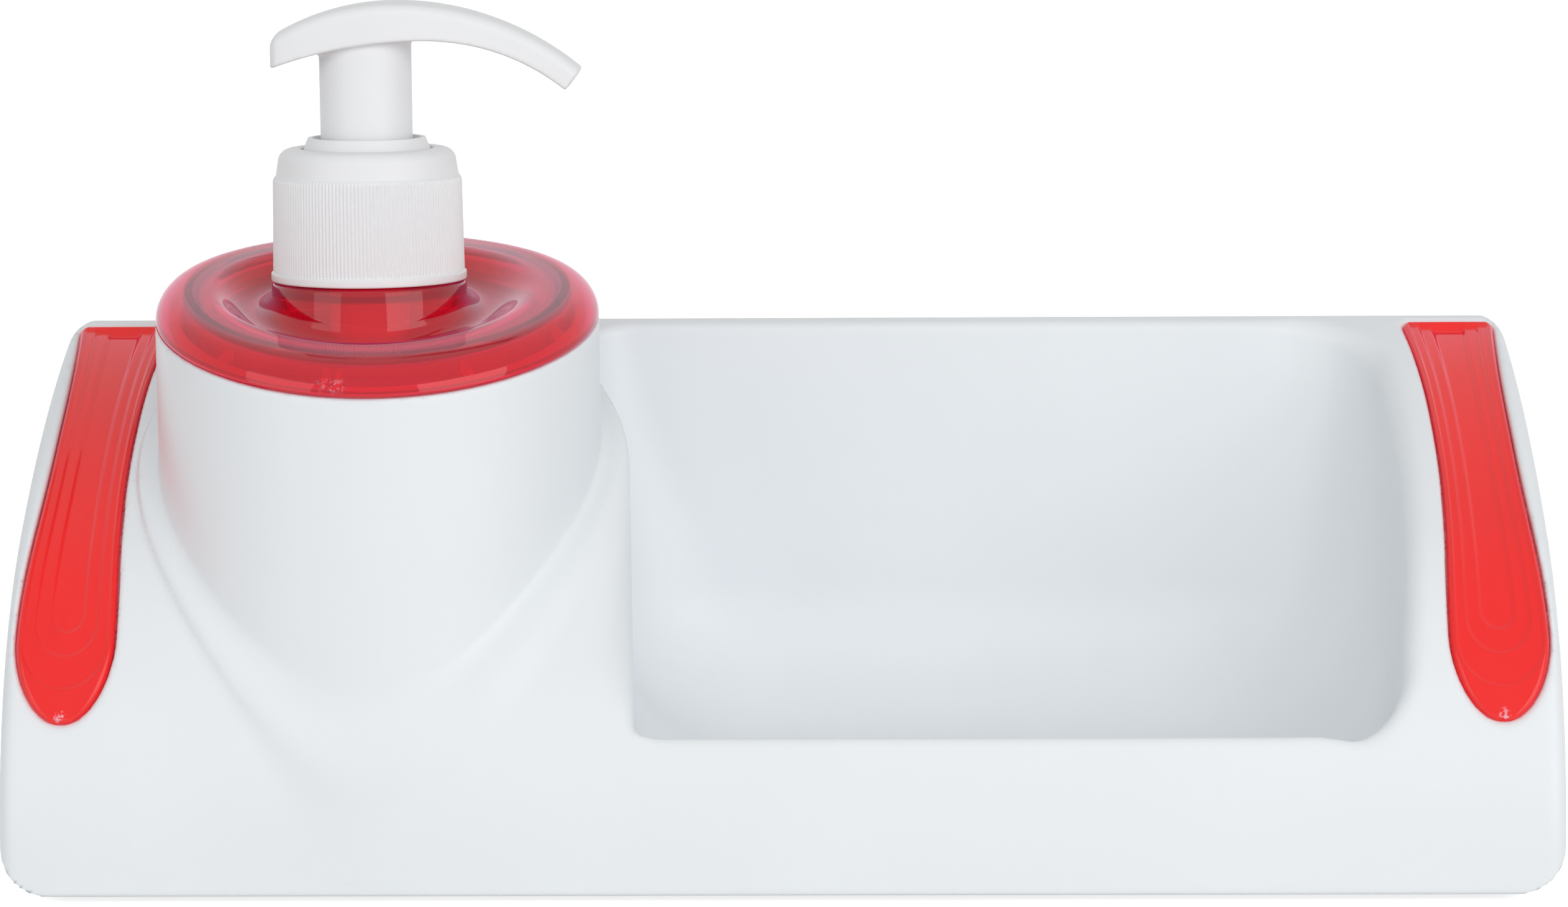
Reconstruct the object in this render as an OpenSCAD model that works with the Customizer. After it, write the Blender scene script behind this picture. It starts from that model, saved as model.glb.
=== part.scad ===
// Soap pump caddy: a free-standing sink-side moulding with a tray for a sponge and a round
// tower for liquid soap, closed by a translucent lid that carries a screw-on lotion pump.
// Millimetres. +X right, +Y back, +Z up, origin on the surface it stands on, bottom centre.

/* [Body] */
// Overall width of the caddy
body_w = 261; // [240:1:300]
// Overall depth, front to back
body_d = 86; // [84:1:100]
// Wall of the white moulding
wall = 2.2; // [1.6:0.1:3]
// Height of the upright strip at the foot of the front
nose_h = 4.2; // [3:0.1:8]
// Radius of the lower, tighter curve of the front
nose_r = 67; // [60:1:72]
// Sweep of the lower curve in degrees
nose_sweep = 53; // [48:1:58]
// Radius of the upper, flatter curve
face_r = 186; // [150:1:220]
// Radius of the two lower corners, seen from the front
foot_corner_r = 8.75; // [5:0.25:12]
// Radius that softens the side edges
side_edge_r = 3; // [1.5:0.5:4]

/* [Tower] */
// Radius of the soap tower
tower_r = 38.2; // [36:0.1:40]
// Distance from the left end to the tower's axis
tower_in = 60.7; // [55.5:0.1:65.5]
// Distance of the tower's axis in front of the centre
tower_front = 1; // [0:0.2:3]
// Wall of the tower
tower_wall = 2.3; // [1.8:0.1:3]
// Height of the lid's seam on the tower's axis, above the shell's lower edge
seam_h = 92.9; // [89:0.1:100]
// Radius of the seam's crown, seen from the side
crown_r = 480; // [300:5:900]
// Rise of the seam towards the back, degrees
seam_tilt = 11.8; // [8:0.2:14]
// Fall of the seam towards the right, degrees
seam_lean = 1.1; // [0:0.1:2]
// Radius of the raised apron at the tower's foot
apron_r = 41.9; // [41:0.1:43]
// Height of the apron above the front face
apron_lift = 1.6; // [0.8:0.1:2.4]

/* [Tray] */
// Distance from the tower's axis to the tray's left edge
tray_gap = 45.8; // [44:0.1:60]
// Distance from the right end to the tray's right edge
tray_in = 27.5; // [25.5:0.5:39.5]
// Distance from the front of the caddy to the recess
tray_lip = 4; // [3.5:0.5:8]
// Distance from the back of the caddy to the recess
tray_rim = 4; // [3.5:0.5:8]
// Height of the recess floor above the shell's lower edge
tray_floor = 12; // [8:0.5:18]
// Corner radius of the recess, seen from above
tray_corner_r = 6; // [3:0.5:10]
// Radius of the cove between the floor and the back wall
tray_cove_r = 26; // [15:1:30]
// Radius of the recess's back corners near its floor
tray_deep_r = 34; // [28:1:36]
// Radius of the recess's front right corner
tray_front_r = 9; // [6:0.5:12]
// Lean of the recess's front wall, in degrees
lip_lean = 25; // [10:1:35]
// Radius of the cove behind the front lip
tray_lip_r = 12; // [6:1:14]
// Bow of the recess's right wall
tray_bow = 3; // [0:0.5:4]
// Lean of the recess's left wall
tray_lean = 5; // [0:0.5:6]

/* [Inserts] */
// Distance from each end to the middle of its insert
insert_in = 10.3; // [9.5:0.1:14.5]
// Half width of the round lower end
insert_bulb = 8.4; // [7:0.1:9]
// Half width at the waist
insert_waist = 6.7; // [5:0.1:8]
// Half width at the back rim
insert_mouth = 8.9; // [7:0.1:9.5]
// Height of the insert's lower tip above the shell's lower edge
insert_tip_z = 28.4; // [24:0.2:32]
// Height of the widest place of the lower end
insert_bulb_z = 41.3; // [38:0.2:46]
// Height of the waist
insert_waist_z = 69.4; // [60:0.2:74]
// Thickness of an insert
insert_t = 2.2; // [1.8:0.1:3]
// Depth of each of the nested steps
step_t = 0.45; // [0.3:0.05:0.5]
// Number of nested steps
step_count = 3; // [1:1:3]

/* [Stand] */
// Gap between the shell and the surface that it stands on
foot_stand = 1; // [0.6:0.1:3]
// Radius of a rubber foot
foot_r = 6; // [4:0.5:8]
// Thickness of the base plate
plate_t = 2; // [1.5:0.1:3]
// Distance from each end to the middle of a foot
foot_in = 30.5; // [24.5:0.5:49.5]
// Distance from the front or the back to the middle of a foot
foot_edge = 13; // [12:0.5:23]

/* [Tank and lid] */
// Wall of the soap tank
tank_wall = 2; // [1.5:0.1:2.5]
// Clearance between parts that are put into each other
seat = 0.3; // [0.2:0.05:0.4]
// Clearance of the running fits
fit = 0.05; // [0.03:0.01:0.08]
// Radius of the lid's rounded outer edge, which is also its height
lid_edge_r = 5; // [4:0.1:6]
// Wall of the lid
lid_t = 2.2; // [1.6:0.1:2.6]
// Depth of the lid's dish at the foot of the neck
dish = 3.9; // [2:0.1:5]
// Radius of the foot of the neck
flare_r = 20; // [18.5:0.1:22]
// Depth that the lid's spigot reaches below the seam
spigot_h = 7; // [5:0.5:10]
// Thickness of the spigot
spigot_t = 1.9; // [1.4:0.1:2.4]
// Distance of the pump's axis left of the tower's axis
pump_left = 1.4; // [0:0.1:3]

/* [Neck and collar] */
// Radius of the neck below the collar
neck_r = 16.8; // [16:0.1:17.6]
// Height of the neck's top above the seam
neck_h = 24.7; // [24:0.1:30]
// Radius of the threaded end of the neck, without the thread
finish_r = 13.7; // [13.2:0.1:14]
// Bore of the neck, radius
bore_r = 11.7; // [11.4:0.1:12]
// Overall height of the collar
collar_h = 22.7; // [21:0.1:24]
// Radius of the collar's skirt at its lower end
collar_r = 16.5; // [16.2:0.1:17]
// Wall of the collar's top
collar_t = 1.5; // [1.2:0.1:2]
// Thickness of the gasket on the neck
gasket_t = 1; // [0.8:0.1:1.5]

/* [Pump] */
// Height that the chaplet's cone stands above the housing's flange
boss_h = 3.4; // [2.8:0.1:4]
// Radius of the chaplet's cone at its foot
boss_r = 11.3; // [10.6:0.1:11.4]
// Outer radius of the head's sleeve
sleeve_r = 7.9; // [7.6:0.1:8]
// Travel of the head
stroke = 13; // [8:0.5:13]
// Thickness of the housing's flange
flange_t = 1.5; // [1.2:0.1:2]
// Length of the housing below its flange
housing_l = 80; // [76:0.5:84]
// Bore of the housing's lower barrel, radius
barrel_r = 5.6; // [5.2:0.1:5.8]
// Wall of the housing
housing_wall = 1.3; // [1:0.1:1.4]
// Radius of the stem
stem_r = 3.2; // [3:0.1:3.4]
// Radius of the valve ball
ball_r = 2.4; // [2.2:0.1:2.5]
// Lift of the valve ball
ball_lift = 1.4; // [1:0.1:1.6]
// Outer radius of the dip tube
tube_r = 2.35; // [2.2:0.05:2.5]
// Wall of the dip tube
tube_wall = 0.75; // [0.6:0.05:0.9]
// Wire of the return spring
wire = 0.9; // [0.7:0.1:1]
// Turns of the return spring
turns = 7; // [5:1:8]

/* [Head] */
// Length of the visible sleeve at rest
sleeve_show = 16; // [15:0.1:20]
// Reach of the spout's tip from the pump's axis
spout_reach = 37; // [32:0.5:44]
// Reach of the palm end from the pump's axis
palm_reach = 15.6; // [14:0.1:15.8]
// Thickness of the blade above the sleeve
blade_t = 6.7; // [6:0.1:8]
// Width of the palm pad
palm_w = 18; // [16.6:0.2:20]
// Width of the spout's tip
tip_w = 9; // [7.5:0.1:11]
// Bore of the nozzle, radius
nozzle_r = 1.2; // [0.8:0.1:1.4]

/* [Hidden] */
$fn = 96;
white = [0.93, 0.94, 0.95];
red = [0.86, 0.05, 0.12];

// One overrun for every cut
cut = wall;
half_w = body_w / 2;
half_d = body_d / 2;
tower_left = half_w - tower_in;
tray_left = tray_gap - tower_left;
tray_right = half_w - tray_in;
insert_x = half_w - insert_in;
foot_x = half_w - foot_in;
foot_y = half_d - foot_edge;
shell_z = foot_stand;

// Centres of the two arcs of the front, in the plane of Y and Z
c1 = [nose_r - half_d, shell_z + nose_h];
c2 = [c1[0] + (face_r - nose_r) * cos(nose_sweep), c1[1] - (face_r - nose_r) * sin(nose_sweep)];
function face_z(y, g = 0) = c2[1] + sqrt(pow(face_r + g, 2) - pow(c2[0] - y, 2));
body_top = face_z(half_d);

// Points of an arc round a centre
function arc(c, r, a0, a1, n) =
  [for (i = [0:n]) let (a = a0 + (a1 - a0) * i / n) [c[0] + r * cos(a), c[1] + r * sin(a)]];

// Side profile of the body above a lower height, grown by g square to the curve
arc_steps = 16;
function side_profile(g, low, back) =
  let (end = acos((c2[0] - half_d - back) / (face_r + g)))
  concat(
    [[half_d + back, low], [c1[0] - nose_r - g, low]],
    arc(c1, nose_r + g, 180, 180 - nose_sweep, arc_steps),
    [for (i = [1:arc_steps]) let (a = nose_sweep + (end - nose_sweep) * i / arc_steps)
      [c2[0] - (face_r + g) * cos(a), c2[1] + (face_r + g) * sin(a)]]);

// Solids drawn in the side view or in the front view, between two places
module along_x(x0, x1) {
  translate([x0, 0, 0]) rotate([90, 0, 90]) linear_extrude(x1 - x0) children();
}
module along_y(y0, y1) {
  translate([0, y1, 0]) rotate([90, 0, 0]) linear_extrude(y1 - y0) children();
}

// Outer form of the body, with softened ends and rounded lower corners
slice_steps = 6;
slice_t = side_edge_r / 200;
function edge_in(x) = x <= half_w - side_edge_r ? 0
  : side_edge_r - sqrt(max(0, side_edge_r * side_edge_r - pow(x - half_w + side_edge_r, 2)));
module body_form() {
  hull() {
    for (m = [0, 1]) {
      for (i = [0:slice_steps]) {
        x = half_w - foot_corner_r * (1 - sin(90 * i / slice_steps));
        low = shell_z + foot_corner_r * (1 - cos(90 * i / slice_steps));
        mirror([m, 0, 0]) along_x(x - slice_t, x) polygon(side_profile(-edge_in(x), low, -edge_in(x)));
      }
    }
  }
}

// Hollow of the body, open below where the base plate goes
module body_hollow() {
  r = foot_corner_r - wall;
  x = half_w - wall;
  intersection() {
    along_x(-x, x) polygon(side_profile(-wall, -cut, -wall));
    along_y(-half_d, half_d) union() {
      translate([-x, shell_z + foot_corner_r]) square([2 * x, body_top]);
      translate([-x + r, -cut]) square([2 * (x - r), shell_z + foot_corner_r + 2 * cut]);
      for (side = [-1, 1]) {
        translate([side * (x - r), shell_z + foot_corner_r]) circle(r);
      }
    }
    along_y(-half_d, half_d) union() {
      translate([-x, shell_z + wall]) square([2 * x, body_top]);
      translate([-plate_w - seat, -cut]) square([2 * (plate_w + seat), shell_z + 2 * wall + cut]);
    }
  }
}

// The scooped recess, grown by g on every side: outlines stacked from its floor up
tray_front = tray_lip - half_d;
tray_back = half_d - tray_rim;
tray_top = body_top + cut;
lip_z = c1[1] + sqrt(pow(nose_r, 2) - pow(c1[0] - tray_front, 2));
cove_steps = 10;
corner_steps = 5;
upper_shares = [0.12, 0.3, 0.5, 0.7, 0.85, 1];
function smooth(t) = t <= 0 ? 0 : (t >= 1 ? 1 : t * t * (3 - 2 * t));
function cove(r, h) = h < r ? r - sqrt(h * (2 * r - h)) : 0;
function front_wall(h, g) =
  let (r = tray_lip_r + g,
    c = [tray_front + (tray_lip_r + (lip_z - shell_z - tray_floor - tray_lip_r) * sin(lip_lean)) / cos(lip_lean),
      shell_z + tray_floor + tray_lip_r],
    z = shell_z + tray_floor - g + h)
  h < r * (1 - sin(lip_lean))
    ? c[0] - sqrt(h * (2 * r - h))
    : max(-half_d - cut, c[0] - (r + (z - c[1]) * sin(lip_lean)) / cos(lip_lean));
function tray_ring(h, g, rise) =
  let (t = h / rise,
    back_in = cove(tray_cove_r + g, h),
    side_in = cove(tray_lip_r + g, h),
    x0 = tray_left - g - tray_lean * t,
    x1 = tray_right + g,
    y0 = front_wall(h, g),
    y1 = tray_back + g - back_in,
    deep = 1 - smooth(t),
    back_r = max(tray_corner_r, tray_corner_r + (tray_deep_r - tray_corner_r) * deep + g - back_in),
    right_r = max(tray_front_r / 2, tray_front_r + g - side_in),
    left_r = max(tray_front_r / 4, tray_front_r / 3 + g - side_in),
    bow = tray_bow * (1 - pow(deep, 4)))
  [for (p = concat(
    arc([x0 + side_in + left_r, y0 + left_r], left_r, 180, 270, corner_steps),
    arc([x1 - side_in - right_r, y0 + right_r], right_r, 270, 360, corner_steps),
    [for (i = [1:corner_steps - 1]) let (s = i / corner_steps)
      [x1 - side_in - (back_in - side_in) * s + bow * 4 * s * (1 - s),
        y0 + right_r + (y1 - back_r - y0 - right_r) * s]],
    arc([x1 - back_in - back_r, y1 - back_r], back_r, 0, 90, corner_steps),
    arc([x0 + back_in + back_r, y1 - back_r], back_r, 90, 180, corner_steps)))
    [p[0], p[1], shell_z + tray_floor - g + h]];
module scoop(g) {
  rise = tray_top - shell_z - tray_floor + g;
  cove_h = tray_cove_r + g;
  levels = concat(
    [for (i = [0:cove_steps]) cove_h * (1 - cos(90 * i / cove_steps))],
    [for (t = upper_shares) cove_h + (rise - cove_h) * t]);
  rings = [for (h = levels) tray_ring(h, g, rise)];
  n = len(rings[0]);
  m = len(rings);
  polyhedron([for (ring = rings) for (p = ring) p], concat(
    [[for (j = [0:n - 1]) j]],
    [for (i = [0:m - 2]) for (j = [0:n - 1])
      let (a = i * n + j, b = i * n + (j + 1) % n) [a, a + n, b]],
    [for (i = [0:m - 2]) for (j = [0:n - 1])
      let (a = i * n + j, b = i * n + (j + 1) % n) [b, a + n, b + n]],
    [[for (j = [n - 1:-1:0]) (m - 1) * n + j]]));
}

// Height of the slanted, crowned seam at a place measured from the tower's axis
tower_at = [-tower_left, -tower_front, 0];
seam_z = shell_z + seam_h;
function seam(x, y) =
  (sqrt(pow(crown_r, 2) - pow(y - crown_r * sin(seam_tilt), 2)) - crown_r * cos(seam_tilt)) / cos(seam_lean)
  - x * tan(seam_lean);

// Everything above that seam, moved up by h
module above_seam(h) {
  translate(tower_at + [0, 0, seam_z + h]) difference() {
    translate([-tower_r * 2, -tower_r * 2, -tower_r]) cube([tower_r * 4, tower_r * 4, tower_r * 2]);
    rotate([0, seam_lean, 0]) translate([-tower_r * 3, crown_r * sin(seam_tilt), -crown_r * cos(seam_tilt)])
      rotate([0, 90, 0]) cylinder(r = crown_r, h = tower_r * 6, $fn = 1440);
  }
}

// Outline of an insert in the front view, grown by g; levels above 0 are the nested steps
step_half_shares = [1, 0.86, 0.64, 0.34];
step_tip_shares = [0, 0.137, 0.263, 0.356];
insert_top = body_top - shell_z;
insert_len = insert_waist_z - insert_tip_z;
function insert_half(z) = z < insert_waist_z
  ? insert_waist + (insert_bulb - insert_waist)
    * (1 + cos(180 * max(0, z - insert_bulb_z) / (insert_waist_z - insert_bulb_z))) / 2
  : insert_waist + (insert_mouth - insert_waist)
    * pow((z - insert_waist_z) / (insert_top - insert_waist_z), 3);
end_steps = 10;
side_steps = 14;
module insert_outline(g, k) {
  half = insert_bulb * step_half_shares[k];
  tip = insert_tip_z + insert_len * step_tip_shares[k];
  belly = k == 0 ? insert_bulb_z : tip + half;
  right = concat(
    [for (i = [0:end_steps]) let (a = 90 * i / end_steps)
      [(half + g) * sin(a), shell_z + belly - (belly - tip + g) * cos(a)]],
    [for (i = [1:side_steps]) let (z = belly + (insert_top + insert_t - belly) * i / side_steps)
      [step_half_shares[k] * insert_half(min(z, insert_top)) + g, shell_z + z]]);
  left = [for (i = [len(right) - 1:-1:1]) [-right[i][0], right[i][1]]];
  translate([insert_x, 0]) polygon(concat(right, left));
}
pocket_gap = fit * 2;
insert_rim = insert_t;
insert_proud = step_t / 2;
module insert_prism(g, k) {
  along_y(-half_d - cut, half_d - insert_rim + g) insert_outline(g, k);
}
module band(g0, g1) {
  along_x(0, half_w) difference() {
    polygon(side_profile(g1, shell_z, g1));
    polygon(side_profile(g0, shell_z - cut, g1 + cut));
  }
}
module insert() {
  difference() {
    intersection() {
      insert_prism(0, 0);
      band(-insert_t, insert_proud);
    }
    for (k = [1:step_count]) {
      difference() {
        insert_prism(0, k);
        along_x(0, half_w) polygon(side_profile(insert_proud - k * step_t, shell_z, cut));
      }
    }
  }
}
module insert_pocket() {
  difference() {
    insert_prism(pocket_gap, 0);
    along_x(0, half_w) polygon(side_profile(-insert_t - pocket_gap, shell_z, cut));
  }
}
module insert_backing() {
  difference() {
    insert_prism(wall, 0);
    along_x(0, half_w) polygon(side_profile(-insert_t - pocket_gap - wall, -cut, cut));
  }
}

// Base plate and its screw posts
plate_in = plate_t * 0.4;
plate_z = shell_z + plate_in;
plate_top = plate_z + plate_t;
plate_w = half_w - foot_corner_r - seat;
plate_d = half_d - wall - seat;
post_r = wall * 1.8;
post_hole_r = wall * 0.6;
post_x = plate_w - post_r * 1.2;
post_y = foot_y;
module at_posts() {
  for (x = [-post_x, post_x]) {
    for (y = [-post_y, post_y]) {
      translate([x, y, 0]) children();
    }
  }
}

// Tower, tank and lid
tower_h = seam_h + tower_r / 2;
tank_r = tower_r - tower_wall - seat;
tank_in = tank_r - tank_wall;
spigot_r = tank_in - spigot_t * 0.6;
spigot_in = spigot_r - spigot_t;
seal_groove = spigot_t / 3;
seal_h = spigot_h * 0.3;

module caddy_shell() color(white) {
  difference() {
    union() {
      intersection() {
        body_form();
        union() {
          difference() {
            translate([-body_w, -body_d, -cut]) cube([2 * body_w, 2 * body_d, 2 * body_top]);
            body_hollow();
          }
          scoop(wall);
          insert_backing();
          mirror([1, 0, 0]) insert_backing();
          at_posts() translate([0, 0, plate_top]) cylinder(r = post_r, h = body_top);
        }
      }
      translate(tower_at + [0, 0, plate_top + seat]) cylinder(r = tower_r, h = tower_h);
      intersection() {
        translate(tower_at + [0, 0, plate_top + seat]) cylinder(r = apron_r, h = seam_h);
        along_x(-half_w, half_w) difference() {
          polygon(side_profile(apron_lift, plate_top, -fit));
          polygon(side_profile(-wall / 2, 0, cut));
        }
      }
    }
    scoop(0);
    insert_pocket();
    mirror([1, 0, 0]) insert_pocket();
    translate(tower_at) cylinder(r = tower_r - tower_wall, h = tower_h * 2);
    above_seam(-seat);
    at_posts() translate([0, 0, shell_z]) cylinder(r = post_hole_r, h = foot_corner_r * 2);
  }
}

module base_plate() color(white) {
  difference() {
    translate([-plate_w, -plate_d, plate_z]) cube([2 * plate_w, 2 * plate_d, plate_t]);
    at_feet() translate([0, 0, plate_z - cut]) cylinder(r = foot_r + fit, h = cut + plate_in);
    at_posts() translate([0, 0, plate_z - cut]) cylinder(r = post_hole_r + fit * 4, h = 3 * cut);
    at_posts() translate([0, 0, plate_z - cut]) cylinder(r = post_r * 0.7, h = cut + plate_in);
  }
}

module at_feet() {
  for (x = [-foot_x, foot_x]) {
    for (y = [-foot_y, foot_y]) {
      translate([x, y, 0]) children();
    }
  }
}

module foot(x, y) {
  h = plate_z + plate_in;
  translate([x, y, 0]) rotate_extrude()
    polygon([[0, 0], [foot_r - h / 4, 0], [foot_r, h / 4], [foot_r, h], [0, h]]);
}
module foot_front_left() color([0.75, 0.75, 0.77]) foot(-foot_x, -foot_y);
module foot_front_right() color([0.75, 0.75, 0.77]) foot(foot_x, -foot_y);
module foot_back_left() color([0.75, 0.75, 0.77]) foot(-foot_x, foot_y);
module foot_back_right() color([0.75, 0.75, 0.77]) foot(foot_x, foot_y);

module insert_left() color(red) mirror([1, 0, 0]) insert();
module insert_right() color(red) insert();

module soap_tank() color([0.9, 0.9, 0.92]) {
  difference() {
    translate(tower_at + [0, 0, plate_top]) cylinder(r = tank_r, h = tower_h);
    translate(tower_at + [0, 0, plate_top + tank_wall]) cylinder(r = tank_in, h = tower_h * 2);
    above_seam(-seat);
  }
}

// Shape turned round an axis and lifted to follow the seam
pump_at = tower_at - [pump_left, 0, 0];
sectors = 64;
module slanted(axis, outline) {
  n = len(outline);
  off = axis - tower_at;
  points = [for (i = [0:sectors - 1]) for (p = outline)
    let (x = p[0] * cos(360 * i / sectors), y = p[0] * sin(360 * i / sectors))
    [x, y, p[1] + seam(x + off[0], y + off[1])]];
  faces = concat(
    [for (i = [0:sectors - 1]) for (j = [0:n - 1])
      let (a = i * n, b = (i + 1) % sectors * n, k = (j + 1) % n) [a + j, a + k, b + j]],
    [for (i = [0:sectors - 1]) for (j = [0:n - 1])
      let (a = i * n, b = (i + 1) % sectors * n, k = (j + 1) % n) [a + k, b + k, b + j]]);
  translate(axis + [0, 0, seam_z]) polyhedron(points, faces);
}

edge_steps = 7;
edge_c = tower_r - lid_edge_r;
dish_r = spigot_in + spigot_t / 2;
hub_z = lid_edge_r - dish;
hub_r = bore_r + fit * 4;
function dish_h(r) = lid_edge_r - dish * (1 - cos(180 * min(1, (dish_r - r) / (dish_r - flare_r)))) / 2;
flare = flare_r - neck_r;
bite = flare / 12;
flare_end = 15;
function lid_plate_profile() =
  concat(
    arc([edge_c, 0], lid_edge_r, 0, 90, edge_steps),
    [for (i = [0:edge_steps]) let (r = dish_r + (flare_r - dish_r) * i / edge_steps) [r, dish_h(r)]],
    [[hub_r, hub_z], [hub_r, hub_z - lid_t]],
    [for (i = [edge_steps:-1:1]) let (r = spigot_in + (flare_r - spigot_in) * i / edge_steps)
      [r, dish_h(r) - lid_t]],
    [
      [spigot_in, -spigot_h],
      [spigot_r - spigot_t / 4, -spigot_h],
      [spigot_r, spigot_t / 4 - spigot_h],
      [spigot_r, -spigot_h / 2 - seal_h / 2],
      [spigot_r - seal_groove, -spigot_h / 2 - seal_h / 2],
      [spigot_r - seal_groove, -spigot_h / 2 + seal_h / 2],
      [spigot_r, -spigot_h / 2 + seal_h / 2],
      [spigot_r, lid_edge_r - lid_t]],
    arc([edge_c, 0], lid_edge_r - lid_t, 90, 0, 3));
function lid_flare_profile() =
  concat(
    [[neck_r - bite, hub_z - bite], [flare_r + bite, hub_z - bite]],
    arc([flare_r, hub_z + flare], flare, 270 - flare_end, 180 + flare_end, 3),
    [[neck_r - bite, hub_z + flare + bite]]);

neck_top = seam_z + neck_h;
gasket_z = neck_top + fit;
flange_z = gasket_z + gasket_t;
flange_top = flange_z + flange_t;
ceiling_z = flange_top + 2 * fit;
collar_top = ceiling_z + collar_t;
collar_z = collar_top - collar_h;
shoulder_z = collar_z - seat;
neck_low = seam_z - neck_r;
module tank_lid() color(red) {
  difference() {
    union() {
      slanted(tower_at, lid_plate_profile());
      intersection() {
        slanted(pump_at, lid_flare_profile());
        translate(pump_at + [0, 0, seam_z - flare_r])
          cylinder(r = 2 * flare_r, h = shoulder_z - fit * 6 - seam_z + flare_r);
      }
      intersection() {
        translate(pump_at) rotate_extrude() polygon([
          [hub_r, neck_low], [neck_r, neck_low],
          [neck_r, shoulder_z - fit * 6], [neck_r - fit * 6, shoulder_z],
          [finish_r, shoulder_z], [finish_r, neck_top - fit * 6], [finish_r - fit * 6, neck_top],
          [bore_r, neck_top], [bore_r, neck_low]]);
        above_seam(hub_z - lid_t / 2);
      }
    }
    translate(pump_at + [0, 0, seam_z - flare_r]) cylinder(r = neck_r - lid_t, h = shoulder_z - lid_t - seam_z + flare_r);
  }
}

module lid_seal() color([0.25, 0.25, 0.27]) {
  r0 = spigot_r - seal_groove + fit;
  r1 = tank_in - fit;
  h = seal_h / 2 - fit;
  b = (r1 - spigot_r) / 2;
  m = -spigot_h / 2;
  slanted(tower_at, [[r0, m - h], [r1 - b, m - h], [r1, m + b - h], [r1, m + h - b], [r1 - b, m + h],
    [r0, m + h]]);
}

// Screw collar: flange, tapering skirt, smooth shoulder and rounded top
collar_rim = collar_r + fit * 6;
collar_taper = collar_r * 0.018;
shoulder_r = collar_r - collar_taper - fit * 9;
corner_r = collar_t * 1.6;
collar_in = finish_r + fit * 18;
skirt_h = collar_h * 0.79;
boss_gap = seat;
module closure_collar() color(white) {
  rim_h = collar_t;
  top_r = shoulder_r - fit * 9;
  translate(pump_at + [0, 0, collar_z]) rotate_extrude() polygon(concat(
    [[collar_in, 0], [collar_rim - fit * 4, 0], [collar_rim, fit * 4], [collar_rim, rim_h - fit * 4],
      [collar_r, rim_h], [collar_r - collar_taper, skirt_h - fit * 4], [shoulder_r, skirt_h]],
    arc([top_r - corner_r, collar_h - corner_r], corner_r, 0, 90, edge_steps),
    [[boss_r + boss_gap, collar_h], [boss_r + boss_gap, collar_h - collar_t], [collar_in, collar_h - collar_t]]));
}

module neck_gasket() color([0.6, 0.6, 0.62]) {
  translate(pump_at + [0, 0, gasket_z]) difference() {
    cylinder(r = finish_r - fit, h = gasket_t);
    translate([0, 0, -cut]) cylinder(r = bore_r, h = gasket_t + 2 * cut);
  }
}

// Pump: the chaplet hangs in the housing and guides the sleeve and the stem
boss_top = flange_top + boss_h;
sleeve_in = boss_h + fit * 4;
sleeve_z = boss_top - sleeve_in;
guide_t = flange_t;
guide_top = sleeve_z - stroke - boss_gap * 2;
guide_z = guide_top - guide_t;
chaplet_in = sleeve_r + seat;
chaplet_wall = housing_wall * 0.7;
chaplet_r = chaplet_in + chaplet_wall;
rim_w = chaplet_wall * 0.8;
boss_taper = boss_h * 0.36;
module chaplet() color(white) {
  translate(pump_at) rotate_extrude() polygon([
    [stem_r + fit, guide_z], [chaplet_r, guide_z], [chaplet_r, flange_top], [boss_r, flange_top],
    [boss_r, flange_top + rim_w / 2], [boss_r - boss_taper, boss_top],
    [boss_r - boss_taper - rim_w, boss_top], [chaplet_in, flange_top], [chaplet_in, guide_top],
    [stem_r + fit, guide_top]]);
}

upper_in = chaplet_r + fit;
upper_r = upper_in + housing_wall;
lower_r = barrel_r + housing_wall;
housing_z = flange_z - housing_l;
socket_l = 3.4 * tube_r;
socket_z = housing_z + socket_l;
seat_r = tube_r - tube_wall;
seat_z = socket_z + housing_wall;
ball_z = seat_z - seat_r + ball_r * sqrt(2) + fit;
cage_r = ball_r * 1.4;
cage_top = ball_z + ball_r + ball_lift + fit;
spring_z = cage_top + housing_wall;
foot_step = housing_wall * 1.2;
module pump_housing() color(white) {
  translate(pump_at) rotate_extrude() polygon([
    [tube_r + fit, housing_z], [tube_r + fit + housing_wall, housing_z],
    [tube_r + fit + housing_wall, socket_z - housing_wall],
    [cage_r + housing_wall, socket_z], [cage_r + housing_wall, spring_z - lower_r + cage_r],
    [lower_r, spring_z], [lower_r, guide_z - 2 * foot_step], [upper_r, guide_z - foot_step],
    [upper_r, flange_z], [finish_r - fit, flange_z], [finish_r - fit, flange_top],
    [upper_in, flange_top], [upper_in, guide_z], [barrel_r, guide_z],
    [barrel_r, spring_z], [ball_r * 0.8, spring_z], [ball_r * 0.8, cage_top],
    [cage_r, cage_top], [cage_r, seat_z + cage_r - seat_r], [seat_r, seat_z],
    [seat_r, socket_z], [tube_r + fit, socket_z]]);
}

module inlet_ball() color([0.7, 0.7, 0.72]) {
  translate(pump_at + [0, 0, ball_z]) rotate_extrude() difference() {
    circle(ball_r);
    translate([-2 * ball_r, -ball_r]) square(2 * ball_r);
  }
}

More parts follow.
